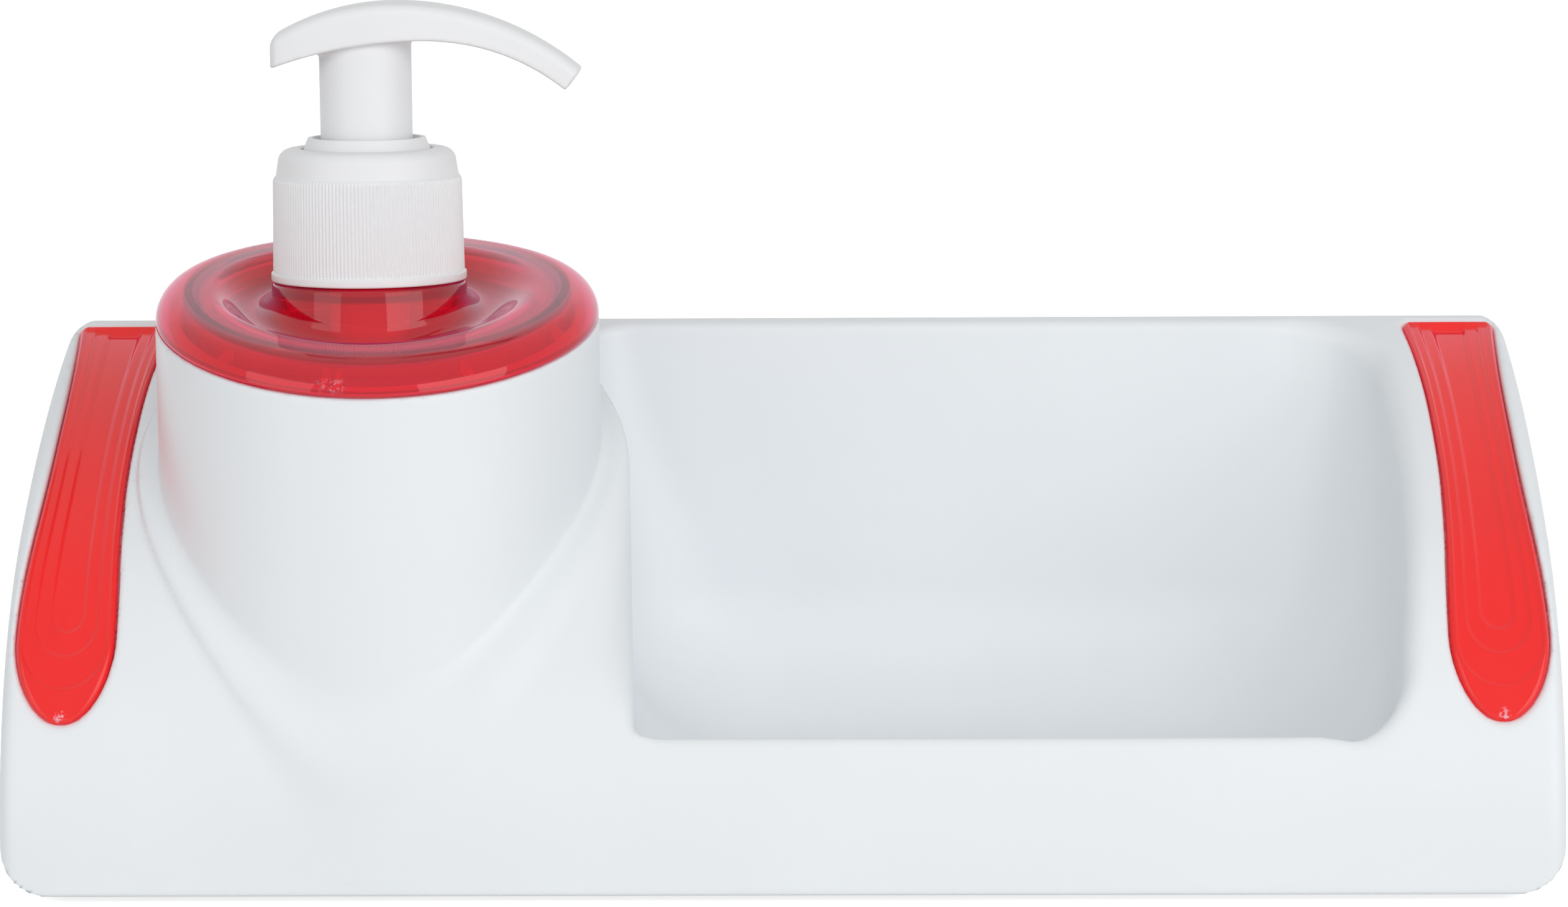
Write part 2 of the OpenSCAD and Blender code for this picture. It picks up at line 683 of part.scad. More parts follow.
// Return spring: one unbroken helix between the housing and the piston
spring_l = stroke + wire * (turns + 2) + ball_r;
coil_r = barrel_r - wire / 2 - seat;
ring_sides = 6;
ring_count = 14;
module return_spring() color([0.75, 0.75, 0.78]) {
  n = turns * ring_count;
  rise = spring_l - wire - 2 * fit;
  points = [for (i = [0:n]) for (j = [0:ring_sides - 1])
    let (a = 360 * i / ring_count, b = 360 * j / ring_sides, r = coil_r + wire / 2 * cos(b))
    [r * cos(a), r * sin(a), spring_z + fit + wire / 2 + rise * i / n + wire / 2 * sin(b)]];
  faces = concat(
    [[for (j = [ring_sides - 1:-1:0]) j]],
    [for (i = [0:n - 1]) for (j = [0:ring_sides - 1])
      let (a = i * ring_sides + j, b = i * ring_sides + (j + 1) % ring_sides)
      [a, b, a + ring_sides]],
    [for (i = [0:n - 1]) for (j = [0:ring_sides - 1])
      let (a = i * ring_sides + j, b = i * ring_sides + (j + 1) % ring_sides)
      [b, b + ring_sides, a + ring_sides]],
    [[for (j = [0:ring_sides - 1]) n * ring_sides + j]]);
  translate(pump_at) polyhedron(points, faces);
}

// Stem with its stop under the guide and the grooved piston at its lower end
piston_z = spring_z + spring_l;
piston_flange = wire * 1.3;
seal_l = barrel_r * 0.9;
stop_r = stem_r + housing_wall;
head_z = boss_top + sleeve_show;
stem_top = head_z - flange_t;
stem_bore = stem_r * 0.45;
piston_r = barrel_r - 2 * seat;
module piston_rod() color(white) {
  z1 = piston_z + piston_flange;
  z2 = z1 + seal_l;
  translate(pump_at) rotate_extrude() polygon([
    [stem_bore, piston_z], [piston_r, piston_z], [piston_r, z1], [stop_r, z1], [stop_r, z2],
    [piston_r, z2], [piston_r, z2 + piston_flange], [stop_r, z2 + 2 * piston_flange],
    [stop_r, guide_z - fit], [stem_r, guide_z - fit], [stem_r, stem_top], [stem_bore, stem_top]]);
}
module piston_seal() color([0.3, 0.3, 0.32]) {
  z1 = piston_z + piston_flange + fit;
  z2 = z1 + seal_l - 2 * fit;
  lip = seal_l / 5;
  r1 = barrel_r - fit;
  translate(pump_at) rotate_extrude() polygon([
    [stop_r + fit, z1], [r1 - fit * 4, z1], [r1, z1 + fit * 4], [r1, z1 + lip],
    [piston_r, z1 + 2 * lip], [piston_r, z2 - 2 * lip], [r1, z2 - lip], [r1, z2 - fit * 4],
    [r1 - fit * 4, z2], [stop_r + fit, z2]]);
}

module dip_tube() color([0.85, 0.86, 0.88]) {
  z0 = plate_top + tank_wall + tube_r / 2;
  translate(pump_at) difference() {
    translate([0, 0, z0]) cylinder(r = tube_r, h = socket_z - fit - z0);
    translate([0, 0, z0 - cut]) cylinder(r = tube_r - tube_wall, h = socket_z + 2 * cut - z0);
    translate([0, 0, z0]) rotate([45, 0, 0]) translate([-tube_r * 2, -tube_r * 4, -tube_r * 4])
      cube([tube_r * 4, tube_r * 8, tube_r * 4]);
  }
}

// Head: an arched blade on a sleeve; places are heights above and reaches from the pump's axis
crest = palm_reach * 0.045;
top_x = spout_reach * 0.14;
under_x = spout_reach * 0.28;
top_z = head_z + crest + blade_t;
under_z = head_z + crest;
top_spout_r = spout_reach * 1.35;
top_palm_r = palm_reach * 2.6;
under_spout_r = spout_reach * 1.03;
under_palm_r = palm_reach * 4.8;
under_short = blade_t / 3;
function dip(x, r0, r1) = x > 0 ? r0 - sqrt(r0 * r0 - x * x) : r1 - sqrt(r1 * r1 - x * x);
blade_steps = 22;
section_shares = [[1, 0.1], [0.9, 0], [-0.9, 0], [-1, 0.1], [-1, 0.74], [-0.97, 0.84], [-0.88, 0.91],
  [-0.6, 0.965], [0, 1], [0.6, 0.965], [0.88, 0.91], [0.97, 0.84], [1, 0.74]];
function blade_half(x) = x < 0
  ? palm_w / 2 * (1 - 0.2 * pow(-x / palm_reach, 4))
  : palm_w / 2 - (palm_w - tip_w) / 2 * smooth(x / spout_reach);
module blade() {
  n = len(section_shares);
  points = [for (i = [0:blade_steps]) let (
      t = i / blade_steps,
      xt = -palm_reach + (palm_reach + spout_reach) * t,
      xb = -palm_reach + (palm_reach + spout_reach - under_short) * t,
      zt = top_z - dip(xt - top_x, top_spout_r, top_palm_r) - (i == 0 ? crest : 0),
      zb = under_z - dip(xb - under_x, under_spout_r, under_palm_r),
      w = blade_half(xt))
    for (p = section_shares)
      [xb + (xt - xb) * p[1], w * p[0], zb + (zt - zb) * p[1]]];
  faces = concat(
    [[for (j = [n - 1:-1:0]) j]],
    [for (i = [0:blade_steps - 1]) for (j = [0:n - 1])
      let (a = i * n + j, b = i * n + (j + 1) % n) [a, b, a + n]],
    [for (i = [0:blade_steps - 1]) for (j = [0:n - 1])
      let (a = i * n + j, b = i * n + (j + 1) % n) [b, b + n, a + n]],
    [[for (j = [0:n - 1]) blade_steps * n + j]]);
  polyhedron(points, faces);
}
tip_mid = [spout_reach - under_short / 2,
  (top_z - dip(spout_reach - top_x, top_spout_r, top_palm_r)
    + under_z - dip(spout_reach - under_short - under_x, under_spout_r, under_palm_r)) / 2];
tip_fall = 36;
module actuator_head() color(white) {
  sleeve_wall = housing_wall;
  boss_z = sleeve_z + boss_gap * 4;
  translate(pump_at) difference() {
    union() {
      blade();
      difference() {
        translate([0, 0, sleeve_z]) cylinder(r = sleeve_r, h = head_z + blade_t / 2 - sleeve_z);
        translate([0, 0, sleeve_z - cut]) cylinder(r = sleeve_r - sleeve_wall, h = head_z - sleeve_z + cut);
      }
      translate([0, 0, boss_z]) cylinder(r = stem_r + fit + sleeve_wall, h = head_z + blade_t / 2 - boss_z);
    }
    translate([0, 0, boss_z - cut]) cylinder(r = stem_r + fit, h = stem_top + fit - boss_z + cut);
    translate([tip_mid[0], 0, tip_mid[1]]) rotate([0, 90 + tip_fall, 0])
      translate([0, 0, -blade_t]) cylinder(r = nozzle_r, h = 2 * blade_t);
  }
}

caddy_shell();
base_plate();
insert_left();
insert_right();
foot_front_left();
foot_front_right();
foot_back_left();
foot_back_right();
soap_tank();
tank_lid();
lid_seal();
closure_collar();
neck_gasket();
chaplet();
pump_housing();
inlet_ball();
return_spring();
piston_rod();
piston_seal();
dip_tube();
actuator_head();
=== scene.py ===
import math
import bpy
import numpy as np
from mathutils import Matrix, Vector


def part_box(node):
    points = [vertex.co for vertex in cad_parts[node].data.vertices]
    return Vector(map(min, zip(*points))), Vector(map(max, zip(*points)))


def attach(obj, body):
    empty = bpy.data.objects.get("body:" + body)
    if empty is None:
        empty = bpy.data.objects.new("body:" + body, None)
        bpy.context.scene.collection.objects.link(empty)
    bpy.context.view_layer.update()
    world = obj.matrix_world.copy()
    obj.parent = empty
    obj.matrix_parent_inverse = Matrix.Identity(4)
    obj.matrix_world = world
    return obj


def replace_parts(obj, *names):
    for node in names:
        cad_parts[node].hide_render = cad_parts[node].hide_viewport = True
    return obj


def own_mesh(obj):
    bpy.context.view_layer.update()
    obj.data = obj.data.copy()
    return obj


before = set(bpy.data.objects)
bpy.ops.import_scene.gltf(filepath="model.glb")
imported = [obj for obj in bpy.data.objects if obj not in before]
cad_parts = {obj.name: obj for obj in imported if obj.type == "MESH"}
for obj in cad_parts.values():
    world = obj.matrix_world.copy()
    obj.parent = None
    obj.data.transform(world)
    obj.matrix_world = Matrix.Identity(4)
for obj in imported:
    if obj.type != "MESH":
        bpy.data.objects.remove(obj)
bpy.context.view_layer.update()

MM = 0.001

# Main sizes of the part in millimetres, in the part's own frame
STAND = 1.0
HW, HD, BODY_TOP = 130.5, 43.0, 88.3
# The front's two tangent arcs: centres (y, z), radii, and the angle where they meet
C1, R1 = (24.0, STAND + 4.2), 67.0
SWEEP = math.radians(53)
R2 = 186.0
C2 = (C1[0] + (R2 - R1) * math.cos(SWEEP), C1[1] - (R2 - R1) * math.sin(SWEEP))
# Axes of the tower and the pump, and the lid's slanted, slightly crowned seam
TX, TY, TR = -69.8, -1.0, 38.2
PX = TX - 1.4
SEAM_Z = STAND + 92.9
TILT, LEAN, CROWN = math.radians(11.8), math.radians(1.1), 480.0


def seam(x, y):
    """Height of the lid's seam above its middle, from places relative to the tower's axis."""
    crown = np.sqrt(CROWN ** 2 - (y - CROWN * math.sin(TILT)) ** 2) - CROWN * math.cos(TILT)
    return crown / math.cos(LEAN) - x * math.tan(LEAN)


# Signed distances and their rounded joins
def cross(a, b, r):
    return np.minimum(-r, np.maximum(a, b)) + np.hypot(np.maximum(r + a, 0), np.maximum(r + b, 0))


def join(a, b, r):
    return -cross(-a, -b, r)


def ramp(x, a, b):
    t = np.clip((x - a) / (b - a), 0, 1)
    return t * t * (3 - 2 * t)


def face(y, z):
    """Distance from the front: upright below the first arc, then along both arcs."""
    a = np.arctan2(z - C1[1], C1[0] - y)
    d1 = np.hypot(y - C1[0], z - C1[1]) - R1
    d2 = np.hypot(y - C2[0], z - C2[1]) - R2
    return np.where(a <= 0, -(y + HD), np.where(a <= SWEEP, d1, d2)) + 0 * z


# Inlays: a round tip, a belly, a waist and a mouth at the back rim
INS_X, INS_END, INS_CORNER = 120.2, 39.6, 2.4
BULB, WAIST, MOUTH = 8.4, 6.7, 8.9
TIP_Z, BULB_Z, WAIST_Z, INS_TOP = STAND + 28.4, STAND + 41.3, STAND + 69.4, STAND + 87.5
TIP_POWER, MOUTH_POWER, MOUTH_OVER = 1.75, 3, 1.1
POCKET_GAP, POCKET_DEPTH, POCKET_EDGE = 0.1, 2.3, 0.9


def half_width(z):
    low = BULB * np.sqrt(1 - np.clip((BULB_Z - z) / (BULB_Z - TIP_Z), 0, 1) ** TIP_POWER)
    turn = np.pi * np.clip((z - BULB_Z) / (WAIST_Z - BULB_Z), 0, 1)
    mid = WAIST + (BULB - WAIST) * (1 + np.cos(turn)) / 2
    up = np.clip((z - WAIST_Z) / (INS_TOP - WAIST_Z), 0, MOUTH_OVER)
    top = WAIST + (MOUTH - WAIST) * up ** MOUTH_POWER
    return np.where(z < BULB_Z, low, np.where(z < WAIST_Z, mid, top))


def insert_area(x, y, z):
    dx = np.abs(np.abs(x) - INS_X)
    u = np.maximum((BULB_Z - z) / (BULB_Z - TIP_Z), 0)
    low = (np.sqrt((dx / BULB) ** 2 + u ** TIP_POWER) - 1) * BULB
    side = np.where(z < BULB_Z, low, dx - half_width(np.maximum(z, BULB_Z)))
    return cross(side, y - INS_END, INS_CORNER)


# Recess: the lip (y, z) of its leaning front wall, and the other walls
FLOOR, RISE = STAND + 12.0, 77.76
LIP, WALL_LEAN = (-38.65, STAND + 28.0), math.radians(25)
TRAY_LEFT, TRAY_RIGHT, TRAY_BACK = -24.2, 103.0, 38.8
# The left wall splays towards the back and runs further out behind the rim
SPLAY, SPLAY_FROM, BEHIND, BEHIND_Y = 0.062, -39, 8, (-2, 32)
# The right wall bulges above the floor, most at BULGE_Y
BULGE, BULGE_Y, BULGE_HALF, BULGE_POWER = 3.7, 3, 45, 4
# Corner radii; those of two values are the one at the top and what is added at the floor
FRONT_LEFT_R, FRONT_RIGHT_R = 1.5, 9.0
BACK_LEFT_R, BACK_RIGHT_R = (10, 24), (13, 21)
# The floor's fillet in front, what is added at the back, and where it grows
FLOOR_R, FLOOR_R_BACK, FLOOR_R_Y = 12, 14, (-20, 15)


def tray(x, y, z):
    """The scooped recess, negative inside: a leaning front wall, deep round corners at the back."""
    deep = 1 - ramp((z - FLOOR) / RISE, 0, 1)
    left = TRAY_LEFT - SPLAY * (y - SPLAY_FROM) - BEHIND * ramp(y, *BEHIND_Y) - x
    bulge = BULGE * (1 - deep ** BULGE_POWER) * np.clip(1 - ((y - BULGE_Y) / BULGE_HALF) ** 2, 0, 1)
    right = x - TRAY_RIGHT - bulge
    back = y - TRAY_BACK
    front = (LIP[0] + (LIP[1] - z) * math.tan(WALL_LEAN) - y) * math.cos(WALL_LEAN)
    at_front = np.maximum(cross(front, left, FRONT_LEFT_R), cross(front, right, FRONT_RIGHT_R))
    at_back = np.maximum(cross(back, left, BACK_LEFT_R[0] + BACK_LEFT_R[1] * deep),
                         cross(back, right, BACK_RIGHT_R[0] + BACK_RIGHT_R[1] * deep))
    fillet = FLOOR_R + FLOOR_R_BACK * ramp(y, *FLOOR_R_Y)
    return cross(np.maximum(at_front, at_back), FLOOR - z, fillet)


# The recess's rim: its roll, wider on the right but less so towards the back
RIM, RIM_RIGHT, RIM_RIGHT_X = 1.2, 2.8, (80, 98)
RIM_BACK, RIM_BACK_Y = 0.55, (28, 38)
# On the left a wide roll that fades up and down from ROLL_Z; spans are of -x and -y
ROLL, ROLL_X, ROLL_Y, ROLL_Z, ROLL_UP, ROLL_DOWN = 8.5, (-20, 12), (-2, 14), 44, 16, 11
# Along the lip, an even roll between its two corners; spans are of -y, x and -x
LIP_ROLL, LIP_Y, LIP_LEFT, LIP_RIGHT = 2.8, (27, 38), (-24, -20), (-98, -84)


def rim_roll(x, y, z):
    roll = RIM + RIM_RIGHT * ramp(x, *RIM_RIGHT_X) * (1 - RIM_BACK * ramp(y, *RIM_BACK_Y))
    height = np.exp(-((z - ROLL_Z) / np.where(z > ROLL_Z, ROLL_UP, ROLL_DOWN)) ** 2)
    roll = roll + ROLL * ramp(-x, *ROLL_X) * ramp(-y, *ROLL_Y) * height
    return roll + (LIP_ROLL - roll) * ramp(-y, *LIP_Y) * ramp(x, *LIP_LEFT) * ramp(-x, *LIP_RIGHT)


# Rolls of the moulding's outer edges
SIDE_ROLL, FOOT_ROLL, FOOT_CORNER = 3.0, 0.7, 8.75
BACK_CORNER, BACK_ROLL, TOP_CORNER = 2.0, 1.6, 5.0
# Apron round the tower: it stands out from the front, less and more softly on the right
APRON_R, APRON_FOOT, APRON_BACK, APRON_EDGE = 41.9, STAND + 2, 1.2, 0.8
APRON_OUT, APRON_FADE, APRON_JOIN, APRON_SOFT, APRON_X = 1.6, 0.9, 0.8, 2.5, (6, 24)
# Tower with its bore, and the room for the base plate
TOWER_DROP, TOWER_EDGE, TOWER_FOOT, TOWER_JOIN = 0.3, 0.5, STAND + 4, 1.4
PLATE_TOP, PLATE_HW, PLATE_HD = STAND + 2.9, 120.75, 40.8
BORE_R, BORE_EDGE = 35.9, 0.4


def shell(x, y, z):
    dx = np.abs(x) - HW
    fc = face(y, z)
    foot = np.maximum(cross(fc, STAND - z, FOOT_ROLL), cross(dx, STAND - z, FOOT_CORNER))
    body = np.maximum(cross(fc, dx, SIDE_ROLL), foot)
    body = np.maximum(body, cross(y - HD, dx, BACK_CORNER))
    body = cross(body, y - HD, BACK_ROLL)
    body = np.maximum(body, cross(dx, z - BODY_TOP, TOP_CORNER))
    td = np.hypot(x - TX, y - TY)
    fade = ramp(x - TX, *APRON_X)
    apron = np.maximum(fc - (APRON_OUT - APRON_FADE * fade), APRON_FOOT - z)
    apron = cross(apron, td - APRON_R, APRON_EDGE)
    apron = cross(apron, y - HD + APRON_BACK, APRON_EDGE)
    body = join(body, apron, APRON_JOIN + APRON_SOFT * fade)
    body = cross(body, -tray(x, y, z), rim_roll(x, y, z))
    tower = cross(td - TR, z - (SEAM_Z + seam(x - TX, y - TY) - TOWER_DROP), TOWER_EDGE)
    tower = np.maximum(tower, TOWER_FOOT - z)
    body = join(body, tower, TOWER_JOIN)
    pocket = np.maximum(insert_area(x, y, z) - POCKET_GAP, -(fc + POCKET_DEPTH))
    body = cross(body, -pocket, POCKET_EDGE)
    bore = np.maximum(td - BORE_R, PLATE_TOP - z)
    body = cross(body, -bore, BORE_EDGE)
    plate = np.maximum(np.maximum(np.abs(x) - PLATE_HW, np.abs(y) - PLATE_HD), z - PLATE_TOP)
    return np.maximum(body, -plate)


# Meshes
TINY = 1e-9
CORNERS = [(i, j, k) for i in (0, 1) for j in (0, 1) for k in (0, 1)]
SLAB, PULLS, PROBE = 24, 4, 0.02
PULL_MOST, SLOPE_LEAST = 0.35, 0.05
NORMAL_PROBE = 0.4


def slopes(f, q, e):
    """How much f changes between e before and e behind each place, along each axis."""
    ahead = [e * np.eye(3)[:, [k]] for k in range(3)]
    return np.stack([f(*(q + d)) - f(*(q - d)) for d in ahead], 1)


def surface_net(f, lo, hi, h):
    """Quads on the zero level of f, with points moved onto it along its gradient."""
    n = [int(math.ceil((b - a) / h)) + 1 for a, b in zip(lo, hi)]
    ax = [(lo[i] + h * np.arange(n[i])).astype(np.float32) for i in range(3)]
    v = np.empty(n, np.float32)
    for i in range(0, n[0], SLAB):
        v[i:i + SLAB] = f(ax[0][i:i + SLAB, None, None], ax[1][None, :, None], ax[2][None, None, :])
    s = v < 0
    c = np.zeros([k - 1 for k in n], np.int8)
    for i, j, k in CORNERS:
        c += s[i:n[0] - 1 + i, j:n[1] - 1 + j, k:n[2] - 1 + k]
    cells = np.argwhere((c > 0) & (c < len(CORNERS)))
    index = np.full(c.shape, -1, np.int32)
    index[tuple(cells.T)] = np.arange(len(cells))
    total = np.zeros((len(cells), 3))
    count = np.zeros((len(cells), 1))
    for a in CORNERS:
        for b in CORNERS:
            if sum(b) - sum(a) == 1 and sum(abs(p - q) for p, q in zip(a, b)) == 1:
                va = v[tuple((cells + a).T)]
                vb = v[tuple((cells + b).T)]
                hit = (va < 0) != (vb < 0)
                t = np.where(hit, va / np.where(va == vb, 1, va - vb), 0)[:, None]
                total += np.where(hit[:, None], np.array(a) + t * (np.array(b) - np.array(a)), 0)
                count += hit[:, None]
    p = np.array(lo) + h * (cells + total / count)
    for _ in range(PULLS):
        g = slopes(f, p.T, PROBE) / (2 * PROBE)
        step = g * (f(*p.T) / np.maximum((g ** 2).sum(1), SLOPE_LEAST))[:, None]
        size = np.linalg.norm(step, axis=1, keepdims=True)
        p = p - step * np.minimum(1, PULL_MOST * h / np.maximum(size, TINY))
    return p, np.concatenate([net_quads(s, index, axis) for axis in range(3)])


def net_quads(s, index, axis):
    """One quad round each grid edge along an axis that crosses the surface, turned outwards."""
    o = [k for k in range(3) if k != axis]
    along = np.moveaxis(s, axis, 0)
    pos = np.argwhere((along[:-1] != along[1:])[:, 1:-1, 1:-1])
    inside = along[:-1][:, 1:-1, 1:-1][tuple(pos.T)]
    full = np.empty((len(pos), 3), int)
    full[:, axis] = pos[:, 0]
    full[:, o[0]] = pos[:, 1] + 1
    full[:, o[1]] = pos[:, 2] + 1
    quad = []
    for du, dw in ((-1, -1), (0, -1), (0, 0), (-1, 0)):
        w = full.copy()
        w[:, o[0]] += du
        w[:, o[1]] += dw
        quad.append(index[tuple(w.T)])
    quad = np.stack(quad, 1)
    turn = inside if axis != 1 else ~inside
    quad[~turn] = quad[~turn][:, ::-1]
    return quad


def true_normals(ob, f, points):
    """Shading from the form itself, so that the mesh's own facets don't show."""
    g = slopes(f, points.T, NORMAL_PROBE)
    g /= np.maximum(np.linalg.norm(g, axis=1, keepdims=True), TINY)
    ob.data.normals_split_custom_set_from_vertices(g.tolist())


def mesh_object(name, points, faces, smooth=True):
    """A mesh from points in millimetres; an array of faces has one number of corners for all."""
    me = bpy.data.meshes.new(name)
    points = np.asarray(points, np.float64) * MM
    if isinstance(faces, np.ndarray):
        k = faces.shape[1]
        me.vertices.add(len(points))
        me.vertices.foreach_set("co", points.astype(np.float32).ravel())
        me.loops.add(faces.size)
        me.loops.foreach_set("vertex_index", faces.astype(np.int32).ravel())
        me.polygons.add(len(faces))
        me.polygons.foreach_set("loop_start", np.arange(0, faces.size, k, dtype=np.int32))
    else:
        me.from_pydata([tuple(p) for p in points], [], faces)
    me.update(calc_edges=True)
    me.validate()
    me.polygons.foreach_set("use_smooth", [smooth] * len(me.polygons))
    ob = bpy.data.objects.new(name, me)
    bpy.context.scene.collection.objects.link(ob)
    return ob


def loft(rings, closed=True, caps=False):
    """Quads between rings of points; a closed loft joins the last ring to the first."""
    m, n = rings.shape[:2]
    i = np.arange(m if closed else m - 1)[:, None]
    j = np.arange(n)[None, :]
    a = i * n + j
    b = i * n + (j + 1) % n
    c = (i + 1) % m * n + (j + 1) % n
    d = (i + 1) % m * n + j
    faces = np.stack([a, b, c, d], -1).reshape(-1, 4)
    if caps:
        ends = [tuple(range(n))[::-1], tuple((m - 1) * n + k for k in range(n))]
        faces = [tuple(f) for f in faces] + ends
    return rings.reshape(-1, 3), faces


def arc(cx, cy, r, a0, a1, n):
    t = np.radians(np.linspace(a0, a1, n + 1))
    return [(cx + r * math.cos(a), cy + r * math.sin(a)) for a in t]


# Materials: small helpers that add and link nodes
def shader(name):
    mat = bpy.data.materials.new(name)
    mat.use_nodes = True
    nt = mat.node_tree
    nt.nodes.clear()
    return mat, nt, nt.nodes.new("ShaderNodeOutputMaterial")


def feed(nt, socket, value):
    """Links an output to a socket, or sets a plain value on it."""
    if isinstance(value, bpy.types.NodeSocket):
        nt.links.new(value, socket)
    else:
        socket.default_value = value


def math_node(nt, operation, a, b, kind="ShaderNodeMath"):
    m = nt.nodes.new(kind)
    m.operation = operation
    feed(nt, m.inputs[0], a)
    feed(nt, m.inputs[1], b)
    return m.outputs[0]


def noise(nt, scale, detail=3.0, rough=0.5):
    tc = nt.nodes.new("ShaderNodeTexCoord")
    nz = nt.nodes.new("ShaderNodeTexNoise")
    nz.inputs["Scale"].default_value = scale
    nz.inputs["Detail"].default_value = detail
    nz.inputs["Roughness"].default_value = rough
    nt.links.new(tc.outputs["Object"], nz.inputs["Vector"])
    return nz.outputs["Fac"]


def spread(nt, source, lo, hi, a=0.3, b=0.7):
    """Maps source from a..b to lo..hi."""
    m = nt.nodes.new("ShaderNodeMapRange")
    m.inputs["From Min"].default_value = a
    m.inputs["From Max"].default_value = b
    m.inputs["To Min"].default_value = lo
    m.inputs["To Max"].default_value = hi
    nt.links.new(source, m.inputs["Value"])
    return m.outputs["Result"]


def tint(nt, share, c0, c1):
    """From c0 to c1 by share; a colour is three values or an output."""
    m = nt.nodes.new("ShaderNodeMix")
    m.data_type = "RGBA"
    nt.links.new(share, m.inputs[0])
    for socket, c in ((m.inputs[6], c0), (m.inputs[7], c1)):
        feed(nt, socket, (*c, 1) if isinstance(c, tuple) else c)
    return m.outputs[2]


def bump(nt, height, strength, distance, target):
    bp = nt.nodes.new("ShaderNodeBump")
    bp.inputs["Strength"].default_value = strength
    bp.inputs["Distance"].default_value = distance
    nt.links.new(height, bp.inputs["Height"])
    nt.links.new(bp.outputs["Normal"], target.inputs["Normal"])


GRAIN_SCALE, GRAIN_DEPTH = 900, 0.0002


def plastic(name, c0, c1, rough, grain=0.02, patches=18, metallic=0.0):
    """Opaque plastic, rubber or metal, with faint patches and a fine grain."""
    mat, nt, out = shader(name)
    b = nt.nodes.new("ShaderNodeBsdfPrincipled")
    b.inputs["IOR"].default_value = 1.5
    b.inputs["Metallic"].default_value = metallic
    nt.links.new(tint(nt, spread(nt, noise(nt, patches), 0, 1), c0, c1), b.inputs["Base Color"])
    nt.links.new(spread(nt, noise(nt, GRAIN_SCALE * 0.4, 4), *rough), b.inputs["Roughness"])
    bump(nt, noise(nt, GRAIN_SCALE, 5, 0.6), grain, GRAIN_DEPTH, b)
    nt.links.new(b.outputs["BSDF"], out.inputs["Surface"])
    return mat


def distance_from(nt, centre, stretch):
    """Distance from a centre in millimetres, stretched along each axis."""
    tc = nt.nodes.new("ShaderNodeTexCoord")
    kind = "ShaderNodeVectorMath"
    off = math_node(nt, "SUBTRACT", tc.outputs["Object"], [v * MM for v in centre], kind)
    d = nt.nodes.new(kind)
    d.operation = "LENGTH"
    nt.links.new(math_node(nt, "MULTIPLY", off, [v / MM for v in stretch], kind), d.inputs[0])
    return d.outputs["Value"]


SCAR, SCAR_GRAIN = (0.92, 0.5, 0.6), 1500
# Colour and edges of the painted shade ring over the spigot
RING_SHADE, RING_EDGE, RING_SHARE = (0.4, 0.001, 0.09), 0.3, 0.75
RED_PATCHES, RED_SMEARS, RED_WAVES, RED_WAVE, RED_WAVE_DEPTH = 40, 300, 220, 0.03, 0.0003
# The first pair: how edge-on a surface must be for the painted pale sheen to come in
SHEEN_FACING, ABSORBED = (0.5, 0.95), (0.0, 0.0, 0.4)


def gate_mark(nt, colour, at, size):
    """A small rough pale mark where the runner was broken off."""
    near = spread(nt, distance_from(nt, at, [1 / v for v in size]), 1, 0, 0.5, 1.0)
    rough = spread(nt, noise(nt, SCAR_GRAIN, 3, 0.7), 0, 1, 0.5, 0.6)
    return tint(nt, math_node(nt, "MULTIPLY", near, rough), colour, SCAR)


def paint_ring_shade(nt, colour, inner, outer):
    """A painted darker ring: shade where the spigot stands under the lid's plate."""
    d = distance_from(nt, (TX, TY, 0), (1, 1, 0))
    past = spread(nt, d, 0, 1, inner, inner + RING_EDGE)
    within = spread(nt, d, RING_SHARE, 0, outer, outer + RING_EDGE)
    return tint(nt, math_node(nt, "MULTIPLY", past, within), colour, RING_SHADE)


def clear_red(name, c0, c1, painted_sheen, through, rough, shade, density, marks, ring=None):
    """Tinted see-through plastic, with tinted shadows, a painted pale sheen where it is seen
    edge-on and, where a ring is given, a painted shade ring.
    """
    mat, nt, out = shader(name)
    g = nt.nodes.new("ShaderNodeBsdfPrincipled")
    g.inputs["IOR"].default_value = 1.49
    g.inputs["Transmission Weight"].default_value = through
    lw = nt.nodes.new("ShaderNodeLayerWeight")
    lw.inputs["Blend"].default_value = 0.5
    colour = tint(nt, spread(nt, noise(nt, RED_PATCHES), 0, 1), c0, c1)
    # Painted sheen: paler and pinker where the surface is seen edge-on, in place of reflected light
    colour = tint(nt, spread(nt, lw.outputs["Facing"], 0, 1, *SHEEN_FACING), colour, painted_sheen)
    for at, size in marks:
        colour = gate_mark(nt, colour, at, size)
    # Painted shade: a darker ring where the spigot wall shows through the plate
    if ring:
        colour = paint_ring_shade(nt, colour, *ring)
    nt.links.new(colour, g.inputs["Base Color"])
    nt.links.new(spread(nt, noise(nt, RED_SMEARS, 4), rough, rough * 1.8), g.inputs["Roughness"])
    bump(nt, noise(nt, RED_WAVES, 3), RED_WAVE, RED_WAVE_DEPTH, g)
    t = nt.nodes.new("ShaderNodeBsdfTransparent")
    t.inputs["Color"].default_value = (*shade, 1)
    lp = nt.nodes.new("ShaderNodeLightPath")
    mx = nt.nodes.new("ShaderNodeMixShader")
    nt.links.new(lp.outputs["Is Shadow Ray"], mx.inputs[0])
    nt.links.new(g.outputs["BSDF"], mx.inputs[1])
    nt.links.new(t.outputs["BSDF"], mx.inputs[2])
    nt.links.new(mx.outputs["Shader"], out.inputs["Surface"])
    va = nt.nodes.new("ShaderNodeVolumeAbsorption")
    va.inputs["Color"].default_value = (*ABSORBED, 1)
    va.inputs["Density"].default_value = density
    nt.links.new(va.outputs["Volume"], out.inputs["Volume"])
    return mat


